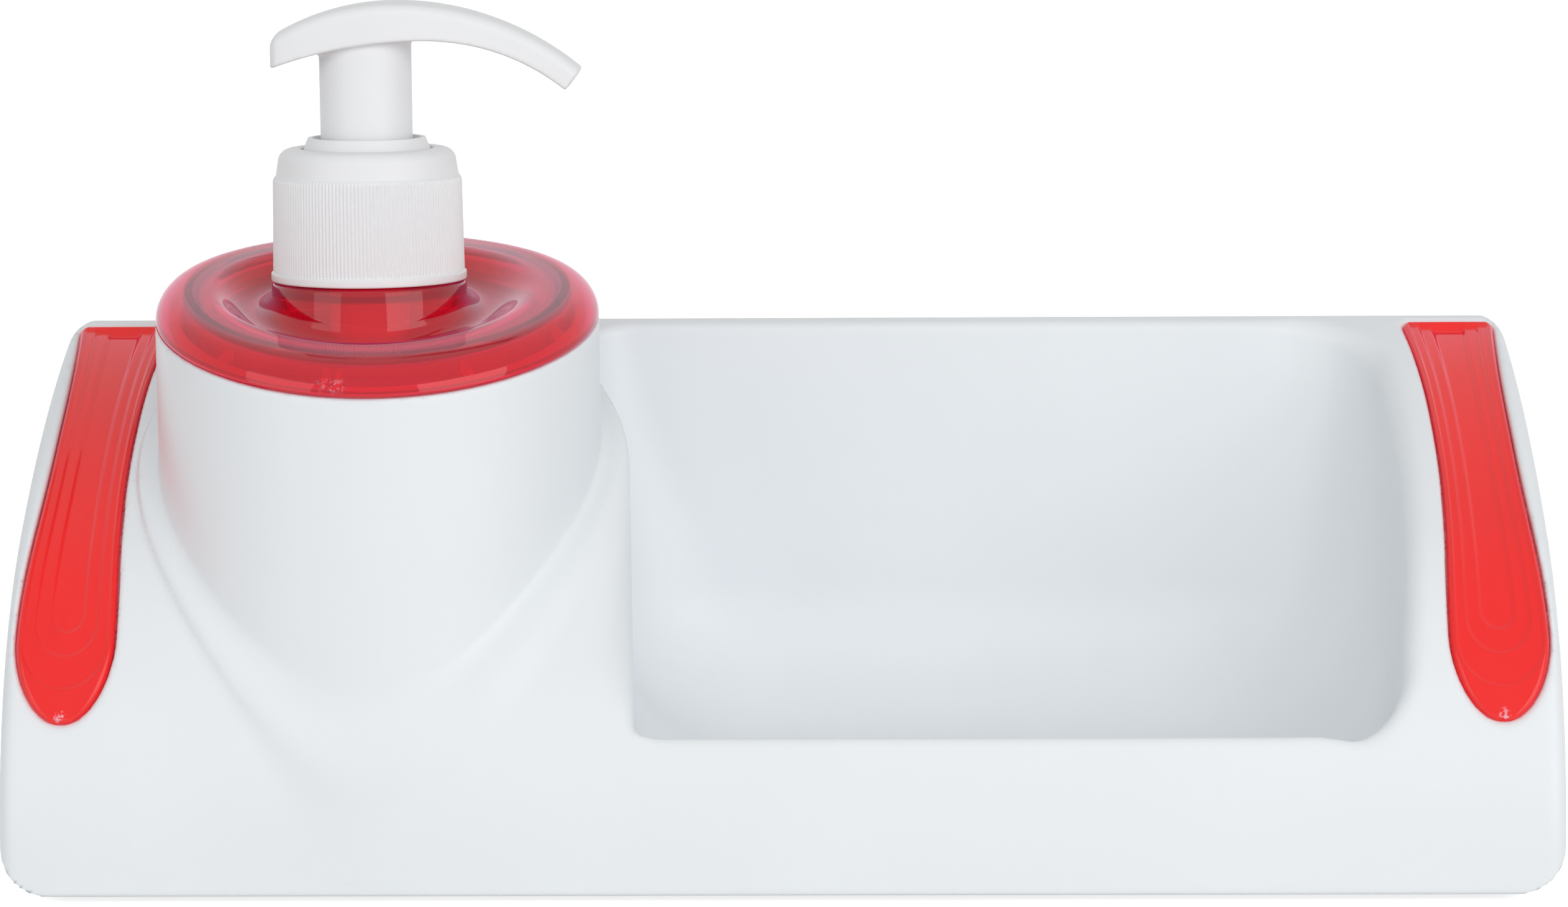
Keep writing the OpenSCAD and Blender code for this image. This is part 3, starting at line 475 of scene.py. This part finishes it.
# Gate marks: centres and half sizes, on the lid's front and on the inlays' tips
LID_GATE = ((-73.8, -39, 86.2), (3.4, 4, 1.5))
TIP_GATES = [((side * INS_X, -38.5, 30.6), (1.2, 3, 1.3)) for side in (-1, 1)]
# Inner and outer radii of the painted shade ring
SPIGOT_RING = (31.6, 33.0)

WHITE = plastic("shell_white", (0.80, 0.832, 0.856), (0.825, 0.858, 0.882), (0.34, 0.42))
PUMP = plastic("pump_white", (0.81, 0.82, 0.832), (0.84, 0.85, 0.862), (0.38, 0.46), grain=0.03)
# The colour for grazing angles is a painted pale sheen; the ring on the lid is painted shade over
# the spigot
RED = clear_red("clear_red", (0.96, 0.001, 0.035), (0.99, 0.002, 0.05), painted_sheen=(1.0, 0.28, 0.78),
                through=0.74, rough=0.02, shade=(0.97, 0.2, 0.3), density=28, marks=[LID_GATE],
                ring=SPIGOT_RING)
RED_IN = clear_red("clear_red_insert", (0.97, 0.003, 0.003), (1.0, 0.006, 0.003),
                   painted_sheen=(0.9, 0.06, 0.2), through=0.2, rough=0.04, shade=(0.97, 0.2, 0.2),
                   density=15, marks=TIP_GATES)
TANK = plastic("tank_plastic", (0.72, 0.73, 0.75), (0.76, 0.77, 0.79), (0.35, 0.45))
TUBE = plastic("tube_plastic", (0.75, 0.76, 0.78), (0.8, 0.81, 0.83), (0.3, 0.5))
RUBBER = plastic("foot_rubber", (0.42, 0.42, 0.44), (0.5, 0.5, 0.52), (0.7, 0.85), grain=0.2)
SEAL = plastic("seal_rubber", (0.03, 0.03, 0.035), (0.06, 0.06, 0.065), (0.5, 0.7), grain=0.2)
STEEL = plastic("ball_steel", (0.55, 0.55, 0.57), (0.65, 0.65, 0.67), (0.18, 0.28), patches=200,
                metallic=1.0)


def wear(ob, mat):
    ob.data.materials.clear()
    ob.data.materials.append(mat)


def dress(ob, mat, body):
    wear(ob, mat)
    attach(ob, body)


# Solids that show as they are
for mat, names in ((WHITE, ["base_plate"]), (TANK, ["soap_tank"]), (TUBE, ["dip_tube"]),
                   (SEAL, ["lid_seal", "neck_gasket", "piston_seal"]), (STEEL, ["inlet_ball"]),
                   (PUMP, ["chaplet", "pump_housing", "piston_rod"]),
                   (RUBBER, ["foot_front_left", "foot_front_right", "foot_back_left",
                             "foot_back_right"])):
    for name in names:
        wear(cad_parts[name], mat)

# White moulding, with the rolls and fillets of the real one
SHELL_STEP = 0.85
SHELL_BOX = (-131.7, -45.2, -1.3), (131.9, 45.3, 106.5)
pts, quads = surface_net(shell, *SHELL_BOX, SHELL_STEP)
body_shell = mesh_object("shell_moulding", pts, quads)
true_normals(body_shell, shell, pts)
dress(body_shell, WHITE, "caddy")
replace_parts(body_shell, "caddy_shell")

# Red inlays: a rounded edge and three nested steps that open towards the back rim.
# Each step has a share of the outline's half width and a height of its tip above the outline's
HALVES, TIPS = (0.86, 0.64, 0.34), (5.6, 10.8, 14.6)
STEP_DEPTH, STEP_EDGE = 0.45, (-0.25, 0.35)
STEP_END = (0.8, 2.6)
INLAY_GAP, INLAY_BACK, INLAY_PROUD, INLAY_ROLL, INLAY_CORNER = 0.15, 2.2, 0.25, 1.3, 2.3
INLAY_LEAST, LOW_SLOPE, LOW_CROWD = 0.02, 1.2, 1.4
INLAY_ROWS, INLAY_COLUMNS = ((200, 84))


def face_point(z):
    """The front face's place and outward direction at a height."""
    a1 = np.arcsin(np.clip((z - C1[1]) / R1, -1, 1))
    on1 = a1 <= SWEEP
    a2 = np.arcsin(np.clip((z - C2[1]) / R2, -1, 1))
    a = np.where(on1, a1, a2)
    cy = np.where(on1, C1[0], C2[0])
    r = np.where(on1, R1, R2)
    return cy - r * np.cos(a), -np.cos(a), np.sin(a)


def relief(dx, z):
    """Depth of the steps below the rim, at a distance from the centre line and a height."""
    d = np.zeros_like(dx)
    for half, tip in zip(HALVES, TIPS):
        w = BULB * half
        belly = TIP_Z + tip + w
        edge = np.where(z < belly, w - np.hypot(dx, belly - z),
                        half * half_width(np.maximum(z, belly)) - np.abs(dx))
        d = d + STEP_DEPTH * ramp(edge, *STEP_EDGE)
    return d


def rounded_drop(inset, r):
    """How far a quarter round of radius r falls at an inset from its edge."""
    return r - np.sqrt(np.maximum(r ** 2 - np.maximum(r - inset, 0) ** 2, 0))


def inlay_heights(count, low):
    """Heights along the front's two arcs, closer together at the tip and at the back end."""
    a_low = math.asin((low - C1[1]) / R1)
    a_end = math.acos((C2[0] - INS_END + INLAY_GAP) / R2)
    half = count // 2
    lower = a_low + (SWEEP - a_low) * np.linspace(0, 1, half + 1)[:-1] ** LOW_CROWD
    upper = SWEEP + (a_end - SWEEP) * np.sin(np.linspace(0, np.pi / 2, count - half))
    return np.concatenate([C1[1] + R1 * np.sin(lower), C2[1] + R2 * np.sin(upper)])[:, None]


def inlay(name, side):
    m, n = INLAY_ROWS, INLAY_COLUMNS
    low = TIP_Z + INLAY_GAP
    z = inlay_heights(m, low)
    y, ny, nz = face_point(z)
    y_end = INS_END - INLAY_GAP - y
    u = np.sin(np.linspace(-np.pi / 2, np.pi / 2, n))[None, :]
    hw = np.maximum(half_width(z) - INLAY_GAP - rounded_drop(y_end, INLAY_CORNER), INLAY_LEAST)
    dx = u * hw
    inset = np.minimum(np.minimum(hw - np.abs(dx), (z - low) * LOW_SLOPE), y_end)
    steps = relief(dx, z + 0 * dx) * ramp(y_end, *STEP_END)
    lift = INLAY_PROUD - rounded_drop(inset, INLAY_ROLL) - steps
    skins = [np.stack([side * (INS_X + dx), y + ny * depth, z + nz * depth], -1).reshape(-1, 3)
             for depth in (lift, np.full_like(lift, -INLAY_BACK))]
    idx = np.arange(m * n).reshape(m, n)
    a, b, c, d = idx[:-1, :-1], idx[:-1, 1:], idx[1:, 1:], idx[1:, :-1]
    up = np.stack([a, b, c, d], -1).reshape(-1, 4)
    down = up[:, ::-1] + m * n
    loop = np.concatenate([idx[0, :], idx[1:, -1], idx[-1, -2::-1], idx[-2:0:-1, 0]])
    nxt = np.roll(loop, -1)
    wall = np.stack([loop, loop + m * n, nxt + m * n, nxt], -1)
    faces = np.concatenate([up, down, wall])
    if side < 0:
        faces = faces[:, ::-1]
    ob = mesh_object(name, np.concatenate(skins), faces)
    dress(ob, RED_IN, "caddy")
    return ob


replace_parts(inlay("inlay_left", -1), "insert_left")
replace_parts(inlay("inlay_right", 1), "insert_right")

# Lid with its slanted plate, spigot and upright neck, as one closed form.
# Heights of the plate and the spigot are above the seam
HUB, DISH, DISH_OUT, DISH_W = 1.1, 3.9, 28.5, 8.5
PLATE_H, PLATE_T, RIM_R = 5, 2.2, 33.2
# The plate's rings on its upper side; inside SHIFT_R their centres move to the pump's axis
PLATE_RINGS, UNDER_RINGS, SHIFT_R, SHIFT = (32.3, 20.6, 22), 14, 31.5, 10
# The flare at the neck's foot: radius, width, height, and its most as a share of the neck's
FLARE_R, BEND, FLARE, FLARE_MOST = 20, 3.2, 3.2, 0.8
LID_SIDES = 224
SHOULDER, NECK_TOP, SPIGOT_IN = 99.75, 118.6, 30.56
NECK = [(16.8, SHOULDER - 0.5), (16.65, SHOULDER - 0.12), (16.3, SHOULDER), (13.7, SHOULDER),
        (13.7, NECK_TOP - 0.4), (13.3, NECK_TOP), (12.0, NECK_TOP), (11.7, NECK_TOP - 0.3),
        (11.7, SHOULDER - 1.2), (12.2, SHOULDER - 2.0), (14.1, SHOULDER - 2.3),
        (14.6, SHOULDER - 2.8)]
UNDER_HUB = [(14.6, 0.5), (14.9, 0), (16.0, 0), (18.0, 0)]
SPIGOT = [(SPIGOT_IN, 2.0), (SPIGOT_IN, -6.8), (30.8, -7.0), (32.2, -7.0), (32.46, -6.6),
          (32.46, -4.6), (31.83, -4.55), (31.83, -2.45), (32.46, -2.4), (32.46, 2.4), (32.9, 2.8)]


def dish_h(r):
    turn = np.pi * np.clip((DISH_OUT - r) / DISH_W, 0, 1)
    return PLATE_H - DISH * (1 - np.cos(turn)) / 2


def make_lid():
    a = np.linspace(0, 2 * np.pi, LID_SIDES, endpoint=False)
    ca, sa = np.cos(a), np.sin(a)
    cols = []

    def on_seam(r, h, w=0.0):
        """A ring along the seam; w moves its centre from the tower's axis to the pump's."""
        x, y = (PX - TX) * w + r * ca, r * sa
        cols.append(np.stack([TX + x, TY + y, SEAM_Z + h + seam(x, y)], -1))

    def level(r, z):
        cols.append(np.stack([PX + r * ca, TY + r * sa, z + 0 * a], -1))

    for r, h in arc(RIM_R, 0, PLATE_H, 0, 90, 14):
        on_seam(r, h)
    for r in np.linspace(*PLATE_RINGS):
        on_seam(r, dish_h(r), ramp(SHIFT_R - r, 0, SHIFT))
    base = SEAM_Z + HUB + seam(PX - TX + FLARE_R * ca, FLARE_R * sa)
    rise = np.minimum(FLARE, FLARE_MOST * (SHOULDER - base))
    for t in np.radians(np.linspace(270, 180, 10)):
        level(FLARE_R + BEND * math.cos(t), base + rise * (1 + math.sin(t)))
    for r, z in NECK:
        level(r, z)
    for r, h in UNDER_HUB:
        on_seam(r, HUB - PLATE_T + h, 1.0)
    for r in np.linspace(FLARE_R, SPIGOT_IN, UNDER_RINGS):
        on_seam(r, dish_h(r) - PLATE_T, ramp(SHIFT_R - r, 0, SHIFT))
    for r, h in SPIGOT + arc(RIM_R, 0, PLATE_H - PLATE_T, 84, 0, 8):
        on_seam(r, h)
    ob = mesh_object("lid_moulding", *loft(np.stack(cols, 1)))
    ob.data.flip_normals()
    dress(ob, RED, "lid")
    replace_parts(ob, "tank_lid")


make_lid()

# Short ribs under the lid's edge, outside its spigot: ten evenly spaced, and one beside the gate.
# Heights above the seam are for the inner and the outer end
RIB_R, RIB_HALF, RIB_TOP, RIB_LOW = (32.9, 35.7), 0.5, (2.6, 0.9), 0.1
RIB_TURNS = [-41 + 36 * k for k in range(10)] + [-8.6]


def lid_rib(name, turn):
    way = np.array([math.sin(turn), -math.cos(turn)])
    side = np.array([-way[1], way[0]]) * RIB_HALF
    low, top = [], []
    for end, off in ((0, -side), (1, -side), (1, side), (0, side)):
        x, y = RIB_R[end] * way
        z = SEAM_Z + float(seam(x, y))
        low.append((TX + x + off[0], TY + y + off[1], z + RIB_LOW))
        top.append((TX + x + off[0], TY + y + off[1], z + RIB_TOP[end]))
    faces = [(3, 2, 1, 0), (4, 5, 6, 7), (0, 1, 5, 4), (1, 2, 6, 5), (2, 3, 7, 6), (3, 0, 4, 7)]
    dress(mesh_object(name, low + top, faces, smooth=False), RED, "lid")


for k, degrees in enumerate(RIB_TURNS):
    lid_rib("lid_rib_%d" % k, math.radians(degrees))

# Return spring, which on the real pump shortens towards its seat as the head goes down; here a coil
# as long as the part's box
WIRE, TURNS, STROKE = 0.9, 7, 13.0
COIL_STEPS, WIRE_SIDES = 36, 14


def make_spring():
    lo, hi = (np.array(v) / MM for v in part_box("return_spring"))
    length = hi[2] - lo[2]
    a = np.linspace(0, 2 * np.pi * TURNS, COIL_STEPS * TURNS + 1)[:, None]
    b = np.linspace(0, 2 * np.pi, WIRE_SIDES, endpoint=False)[None, :]
    r = (hi[0] - lo[0] - WIRE) / 2 + WIRE / 2 * np.cos(b)
    z = lo[2] + WIRE / 2 + (length - WIRE) * a / a[-1] + WIRE / 2 * np.sin(b)
    rings = np.stack([PX + r * np.cos(a), TY + r * np.sin(a), z], -1)
    ob = mesh_object("return_spring_coil", *loft(rings, closed=False, caps=True))
    ob.data.flip_normals()
    dress(ob, STEEL, "pump_core")
    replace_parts(ob, "return_spring")
    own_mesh(ob)


make_spring()

# Screw collar with its fine ribs; its profile's heights are above COLLAR_Z
RIBS, RIB_DEPTH, RIB_FLAT, RIB_OUT = 158, 0.13, 0.6, 0.2
RIBS_START, RIBS_END, RIB_STEPS = (1.55, 1.75), (17.3, 17.8), 8
COLLAR_Z, COLLAR_TOP, COLLAR_ROUND, COLLAR_R = 100.05, 22.7, 2.3, 15.3
COLLAR_SIDE = [(14.6, 0), (16.4, 0), (16.65, 0.03), (16.78, 0.15), (16.8, 0.35), (16.8, 1.2),
               (16.75, 1.4), (16.6, 1.5), (16.36, 1.55), (16.34, 1.65), (16.33, 1.75), (16.3, 2.6),
               (16.24, 6), (16.16, 10), (16.1, 14), (16.06, 17), (16.04, 17.3), (16.0, 17.55),
               (15.95, 17.8), (15.8, 17.93), (15.72, 18.0), (15.66, 18.3)]
COLLAR_BORE = [(12.4, COLLAR_TOP), (11.55, 22.68), (11.42, 22.55), (11.4, 22.3), (11.4, 21.4),
               (11.5, 21.2), (14.4, 21.2), (14.6, 21.0), (14.6, 12), (14.6, 2)]


def collar_wave(a, h):
    on = ramp(h, *RIBS_START) * (1 - ramp(h, *RIBS_END))
    c = np.cos(RIBS * a)
    return on * RIB_DEPTH * (np.sign(c) * np.abs(c) ** RIB_FLAT + RIB_OUT)


def make_collar():
    top = arc(COLLAR_R - COLLAR_ROUND, COLLAR_TOP - COLLAR_ROUND, COLLAR_ROUND, 3, 87, 9)
    p = np.array(COLLAR_SIDE + top + COLLAR_BORE)
    a = np.linspace(0, 2 * np.pi, RIBS * RIB_STEPS, endpoint=False)[:, None]
    h = p[None, :, 1]
    r = p[None, :, 0] + collar_wave(a, h)
    rings = np.stack([PX + r * np.cos(a), TY + r * np.sin(a), COLLAR_Z + h + 0 * a], -1)
    ob = mesh_object("collar_moulding", *loft(rings))
    dress(ob, PUMP, "collar")
    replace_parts(ob, "closure_collar")


make_collar()

# Screw threads between the neck and the collar
PITCH, THREAD_Z, THREAD_TURNS = 0.673 * 2 * math.pi, 103.5, 2.2
THREAD_FADE, THREAD_SINK, THREAD_ROOT, THREAD_CREST = 0.12, 0.1, 0.75, 0.3
THREAD_STEPS, THREAD_LEAST = 64, 0.02


def thread(name, r_root, r_crest, phase, mat, body):
    t = np.linspace(0, THREAD_TURNS, int(THREAD_STEPS * THREAD_TURNS) + 1)
    fade = np.minimum(1, np.minimum(t, THREAD_TURNS - t) / THREAD_FADE)
    a = 2 * np.pi * t + phase
    crest = r_root + (r_crest - r_root) * np.maximum(fade, THREAD_LEAST)
    sunk = r_root + 0 * t - np.sign(r_crest - r_root) * THREAD_SINK
    section = ((sunk, -THREAD_ROOT), (crest, -THREAD_CREST),
               (crest, THREAD_CREST), (sunk, THREAD_ROOT))
    rings = [np.stack([PX + r * np.cos(a), TY + r * np.sin(a), THREAD_Z + PITCH * t + dz], -1)
             for r, dz in section]
    points, faces = loft(np.stack(rings, 1), closed=False, caps=True)
    if r_crest > r_root:
        faces = [f[::-1] for f in faces]
    dress(mesh_object(name, points, faces), mat, body)


thread("neck_thread", 13.7, 14.4, 0.0, RED, "lid")
thread("collar_thread", 14.6, 13.95, math.pi, PUMP, "collar")

# Arched head with its sleeve, on the pump's axis. Its top and its underside are arcs
# whose radii differ before and behind their highest points
TOP_Z, HEAD_Z, SLEEVE_Z = 147.95, 140.55, 120.95
REACH, PALM = 37.0, 15.6
TOP_X, TOP_FORE, TOP_AFT = REACH * 0.14, REACH * 1.35, PALM * 2.6
UNDER_X, UNDER_FORE, UNDER_AFT = REACH * 0.28, REACH * 1.03, PALM * 4.8
UNDER_Z = HEAD_Z + PALM * 0.045
FALL, SHORT = math.radians(36), 6.7 / 3
HEAD_HALF, PALM_TAPER, SPOUT_TAPER, TOP_CAMBER = 9.0, 0.2, 4.5, 0.55
TAPER_MOST, CAMBER_MOST = 1.1, 1.2
SIDE_EDGE, PALM_EDGE, TIP_EDGE, UNDER_EDGE = 1.5, 1.4, 0.5, 0.45
SLEEVE_R, SLEEVE_IN, SLEEVE_JOIN, SLEEVE_UP = 7.9, 6.6, 0.9, 3.5
POST_R, POST_IN, POST_SHORT, POST_ROOF, POST_UP = 4.55, 3.25, 1.2, 1.45, 1
NOZZLE_R, NOZZLE_DEEP = 1.2, 13.4


def dip(x, r):
    """How far an arc of radius r has fallen at x from its highest point."""
    return r - math.sqrt(r * r - x * x)


TIP = (REACH - SHORT / 2, (TOP_Z - dip(REACH - TOP_X, TOP_FORE)
                           + UNDER_Z - dip(REACH - SHORT - UNDER_X, UNDER_FORE)) / 2)


def head(x, y, z):
    rt = np.where(x > TOP_X, TOP_FORE, TOP_AFT)
    ru = np.where(x > UNDER_X, UNDER_FORE, UNDER_AFT)
    w = np.where(x < 0, HEAD_HALF * (1 - PALM_TAPER * np.clip(-x / PALM, 0, TAPER_MOST) ** 4),
                 HEAD_HALF - SPOUT_TAPER * ramp(x, 0, REACH))
    camber = TOP_CAMBER * np.clip(np.abs(y) / w, 0, CAMBER_MOST) ** 2
    top = np.hypot(x - TOP_X, z - (TOP_Z - rt)) - rt + camber
    under = ru - np.hypot(x - UNDER_X, z - (UNDER_Z - ru))
    tip = (x - TIP[0]) * math.cos(FALL) - (z - TIP[1]) * math.sin(FALL)
    d = cross(top, np.abs(y) - w, SIDE_EDGE)
    d = cross(d, -PALM - x, PALM_EDGE)
    d = cross(d, tip, TIP_EDGE)
    d = cross(d, under, UNDER_EDGE)
    rad = np.hypot(x, y)
    sleeve = np.maximum(rad - SLEEVE_R, np.maximum(SLEEVE_Z - z, z - (TOP_Z - SLEEVE_UP)))
    d = join(d, sleeve, SLEEVE_JOIN)
    hollow = np.maximum(rad - SLEEVE_IN, z - HEAD_Z)
    post = np.maximum(rad - POST_R, SLEEVE_Z + POST_SHORT - z)
    d = np.maximum(d, -hollow)
    d = np.minimum(d, np.maximum(post, z - HEAD_Z - POST_UP))
    d = np.maximum(d, -np.maximum(rad - POST_IN, z - (HEAD_Z - POST_ROOF)))
    ax = (x - TIP[0]) * math.sin(FALL) + (z - TIP[1]) * math.cos(FALL)
    nozzle = np.maximum(np.hypot(ax, y) - NOZZLE_R, -NOZZLE_DEEP - tip)
    return np.maximum(d, -nozzle)


HEAD_STEP = 0.38
HEAD_BOX = (-17.1, -10.6, 119.9), (39.4, 10.7, 149.6)
pts, quads = surface_net(head, *HEAD_BOX, HEAD_STEP)
head_mesh = mesh_object("head_moulding", pts + np.array([PX, TY, 0]), quads)
dress(head_mesh, PUMP, "head")
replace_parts(head_mesh, "actuator_head")

# Cross-headed screws that hold the base plate
SCREW_R, SCREW_T, SCREW_EDGE = 2.45, 0.75, 0.35
SLOT_REACH, SLOT_HALF, SLOT_DEEP = 1.5, 0.32, 0.5
SCREW_X, SCREW_Y, SCREW_Z = 115.7, 30, 1.83
SCREW_STEP = 0.15
SCREW_BOX = (-3, -3, -0.6), (3, 3, 1.2)


def screw(x, y, z):
    cap = np.maximum(cross(np.hypot(x, y) - SCREW_R, -z, SCREW_EDGE), z - SCREW_T)
    slots = [np.maximum(np.maximum(np.abs(a) - SLOT_REACH, np.abs(b) - SLOT_HALF), z - SLOT_DEEP)
             for a, b in ((x, y), (y, x))]
    return np.maximum(cap, -np.minimum(*slots))


pts, quads = surface_net(screw, *SCREW_BOX, SCREW_STEP)
for i, (sx, sy) in enumerate(((-1, -1), (1, -1), (-1, 1), (1, 1))):
    place = np.array([sx * SCREW_X, sy * SCREW_Y, SCREW_Z])
    one = mesh_object("base_screw_%d" % i, pts + place, quads)
    dress(one, STEEL, "caddy")

# Studio in metres and watts: a white floor that keeps the shadow, an even white surrounding
# and three soft lamps
FLOOR_HALF, FLOOR_GAP, FLOOR_GREY, FLOOR_GLOW = 8, 0.0002, 0.8, 0.72
SURROUND_LIGHT = 0.46


def background_rays(nt):
    """1 for rays that see the white background: from the camera, mirrored or passing through."""
    lp = nt.nodes.new("ShaderNodeLightPath")
    seen = lp.outputs["Is Camera Ray"]
    for ray in ("Is Transmission Ray", "Is Glossy Ray"):
        seen = math_node(nt, "MAXIMUM", seen, lp.outputs[ray])
    return seen


def stage_floor():
    h = FLOOR_HALF
    me = bpy.data.meshes.new("studio_floor")
    me.from_pydata([(-h, -h, 0), (h, -h, 0), (h, h, 0), (-h, h, 0)], [], [(0, 1, 2, 3)])
    ob = bpy.data.objects.new("studio_floor", me)
    bpy.context.scene.collection.objects.link(ob)
    ob.location.z = -FLOOR_GAP
    mat, nt, out = shader("studio_floor")
    d = nt.nodes.new("ShaderNodeBsdfDiffuse")
    d.inputs["Color"].default_value = (FLOOR_GREY, FLOOR_GREY, FLOOR_GREY, 1)
    e = nt.nodes.new("ShaderNodeEmission")
    nt.links.new(math_node(nt, "MULTIPLY", background_rays(nt), FLOOR_GLOW), e.inputs["Strength"])
    add = nt.nodes.new("ShaderNodeAddShader")
    nt.links.new(d.outputs[0], add.inputs[0])
    nt.links.new(e.outputs[0], add.inputs[1])
    nt.links.new(add.outputs[0], out.inputs["Surface"])
    me.materials.append(mat)


def surround(scene):
    """White where it is seen, mirrored or looked through to, and an even light elsewhere."""
    world = bpy.data.worlds.new("studio")
    scene.world = world
    world.use_nodes = True
    nt = world.node_tree
    nt.nodes.clear()
    out = nt.nodes.new("ShaderNodeOutputWorld")
    mix = nt.nodes.new("ShaderNodeMixShader")
    nt.links.new(background_rays(nt), mix.inputs[0])
    for socket, strength in ((mix.inputs[1], SURROUND_LIGHT), (mix.inputs[2], 1.0)):
        b = nt.nodes.new("ShaderNodeBackground")
        b.inputs["Color"].default_value = (1, 1, 1, 1)
        b.inputs["Strength"].default_value = strength
        nt.links.new(b.outputs[0], socket)
    nt.links.new(mix.outputs[0], out.inputs["Surface"])


# The camera as the photograph was taken: place in metres, lens and sensor in millimetres
CAM = Vector((0.0112, -0.7490, 0.1770))
PITCH_DOWN, YAW, ROLL_CAM = math.radians(8.19), math.radians(0.838), math.radians(0.313)
LENS, SENSOR, CLIP_START = 100, 36, 0.01


def photo_camera(scene):
    fwd = Vector((-math.sin(YAW) * math.cos(PITCH_DOWN), math.cos(YAW) * math.cos(PITCH_DOWN),
                  -math.sin(PITCH_DOWN)))
    right = Vector((math.cos(YAW), math.sin(YAW), 0))
    up = right.cross(fwd)
    rolled_right = right * math.cos(ROLL_CAM) - up * math.sin(ROLL_CAM)
    rolled_up = up * math.cos(ROLL_CAM) + right * math.sin(ROLL_CAM)
    data = bpy.data.cameras.new("photo_view")
    data.lens = LENS
    data.sensor_width = SENSOR
    data.sensor_fit = "HORIZONTAL"
    data.clip_start = CLIP_START
    cam = bpy.data.objects.new("photo_view", data)
    m = Matrix.Identity(4)
    for i, column in enumerate((rolled_right, rolled_up, -fwd, CAM)):
        for k in range(3):
            m[k][i] = column[k]
    cam.matrix_world = m
    scene.collection.objects.link(cam)
    scene.camera = cam


AIM_Z, LAMP_TALL = 0.08, 0.9


def soft_lamp(name, azimuth, dist, height, width, watts, mirrored=True):
    """A soft rectangle facing the object, at an azimuth from the photo's own direction."""
    a = math.radians(azimuth)
    mid = Vector((0, 0, AIM_Z))
    ld = bpy.data.lights.new(name, "AREA")
    ld.shape = "RECTANGLE"
    ld.size = width
    ld.size_y = LAMP_TALL
    ld.energy = watts
    ob = bpy.data.objects.new(name, ld)
    ob.location = mid + Vector((math.sin(a), -math.cos(a), 0)) * dist + Vector((0, 0, height))
    look = (mid - ob.location).normalized()
    ob.rotation_euler = look.to_track_quat("-Z", "Y").to_euler()
    bpy.context.scene.collection.objects.link(ob)
    ob.visible_glossy = mirrored


stage_floor()
scene = bpy.context.scene
surround(scene)
photo_camera(scene)
soft_lamp("lamp_left", -47, 1.25, 0.25, width=0.75, watts=2.0)
soft_lamp("lamp_right", 46, 1.25, 0.25, width=1.1, watts=4.6)
soft_lamp("lamp_front", 6, 1.3, 0.6, width=1.4, watts=6.3, mirrored=False)

scene.view_settings.view_transform = "Standard"
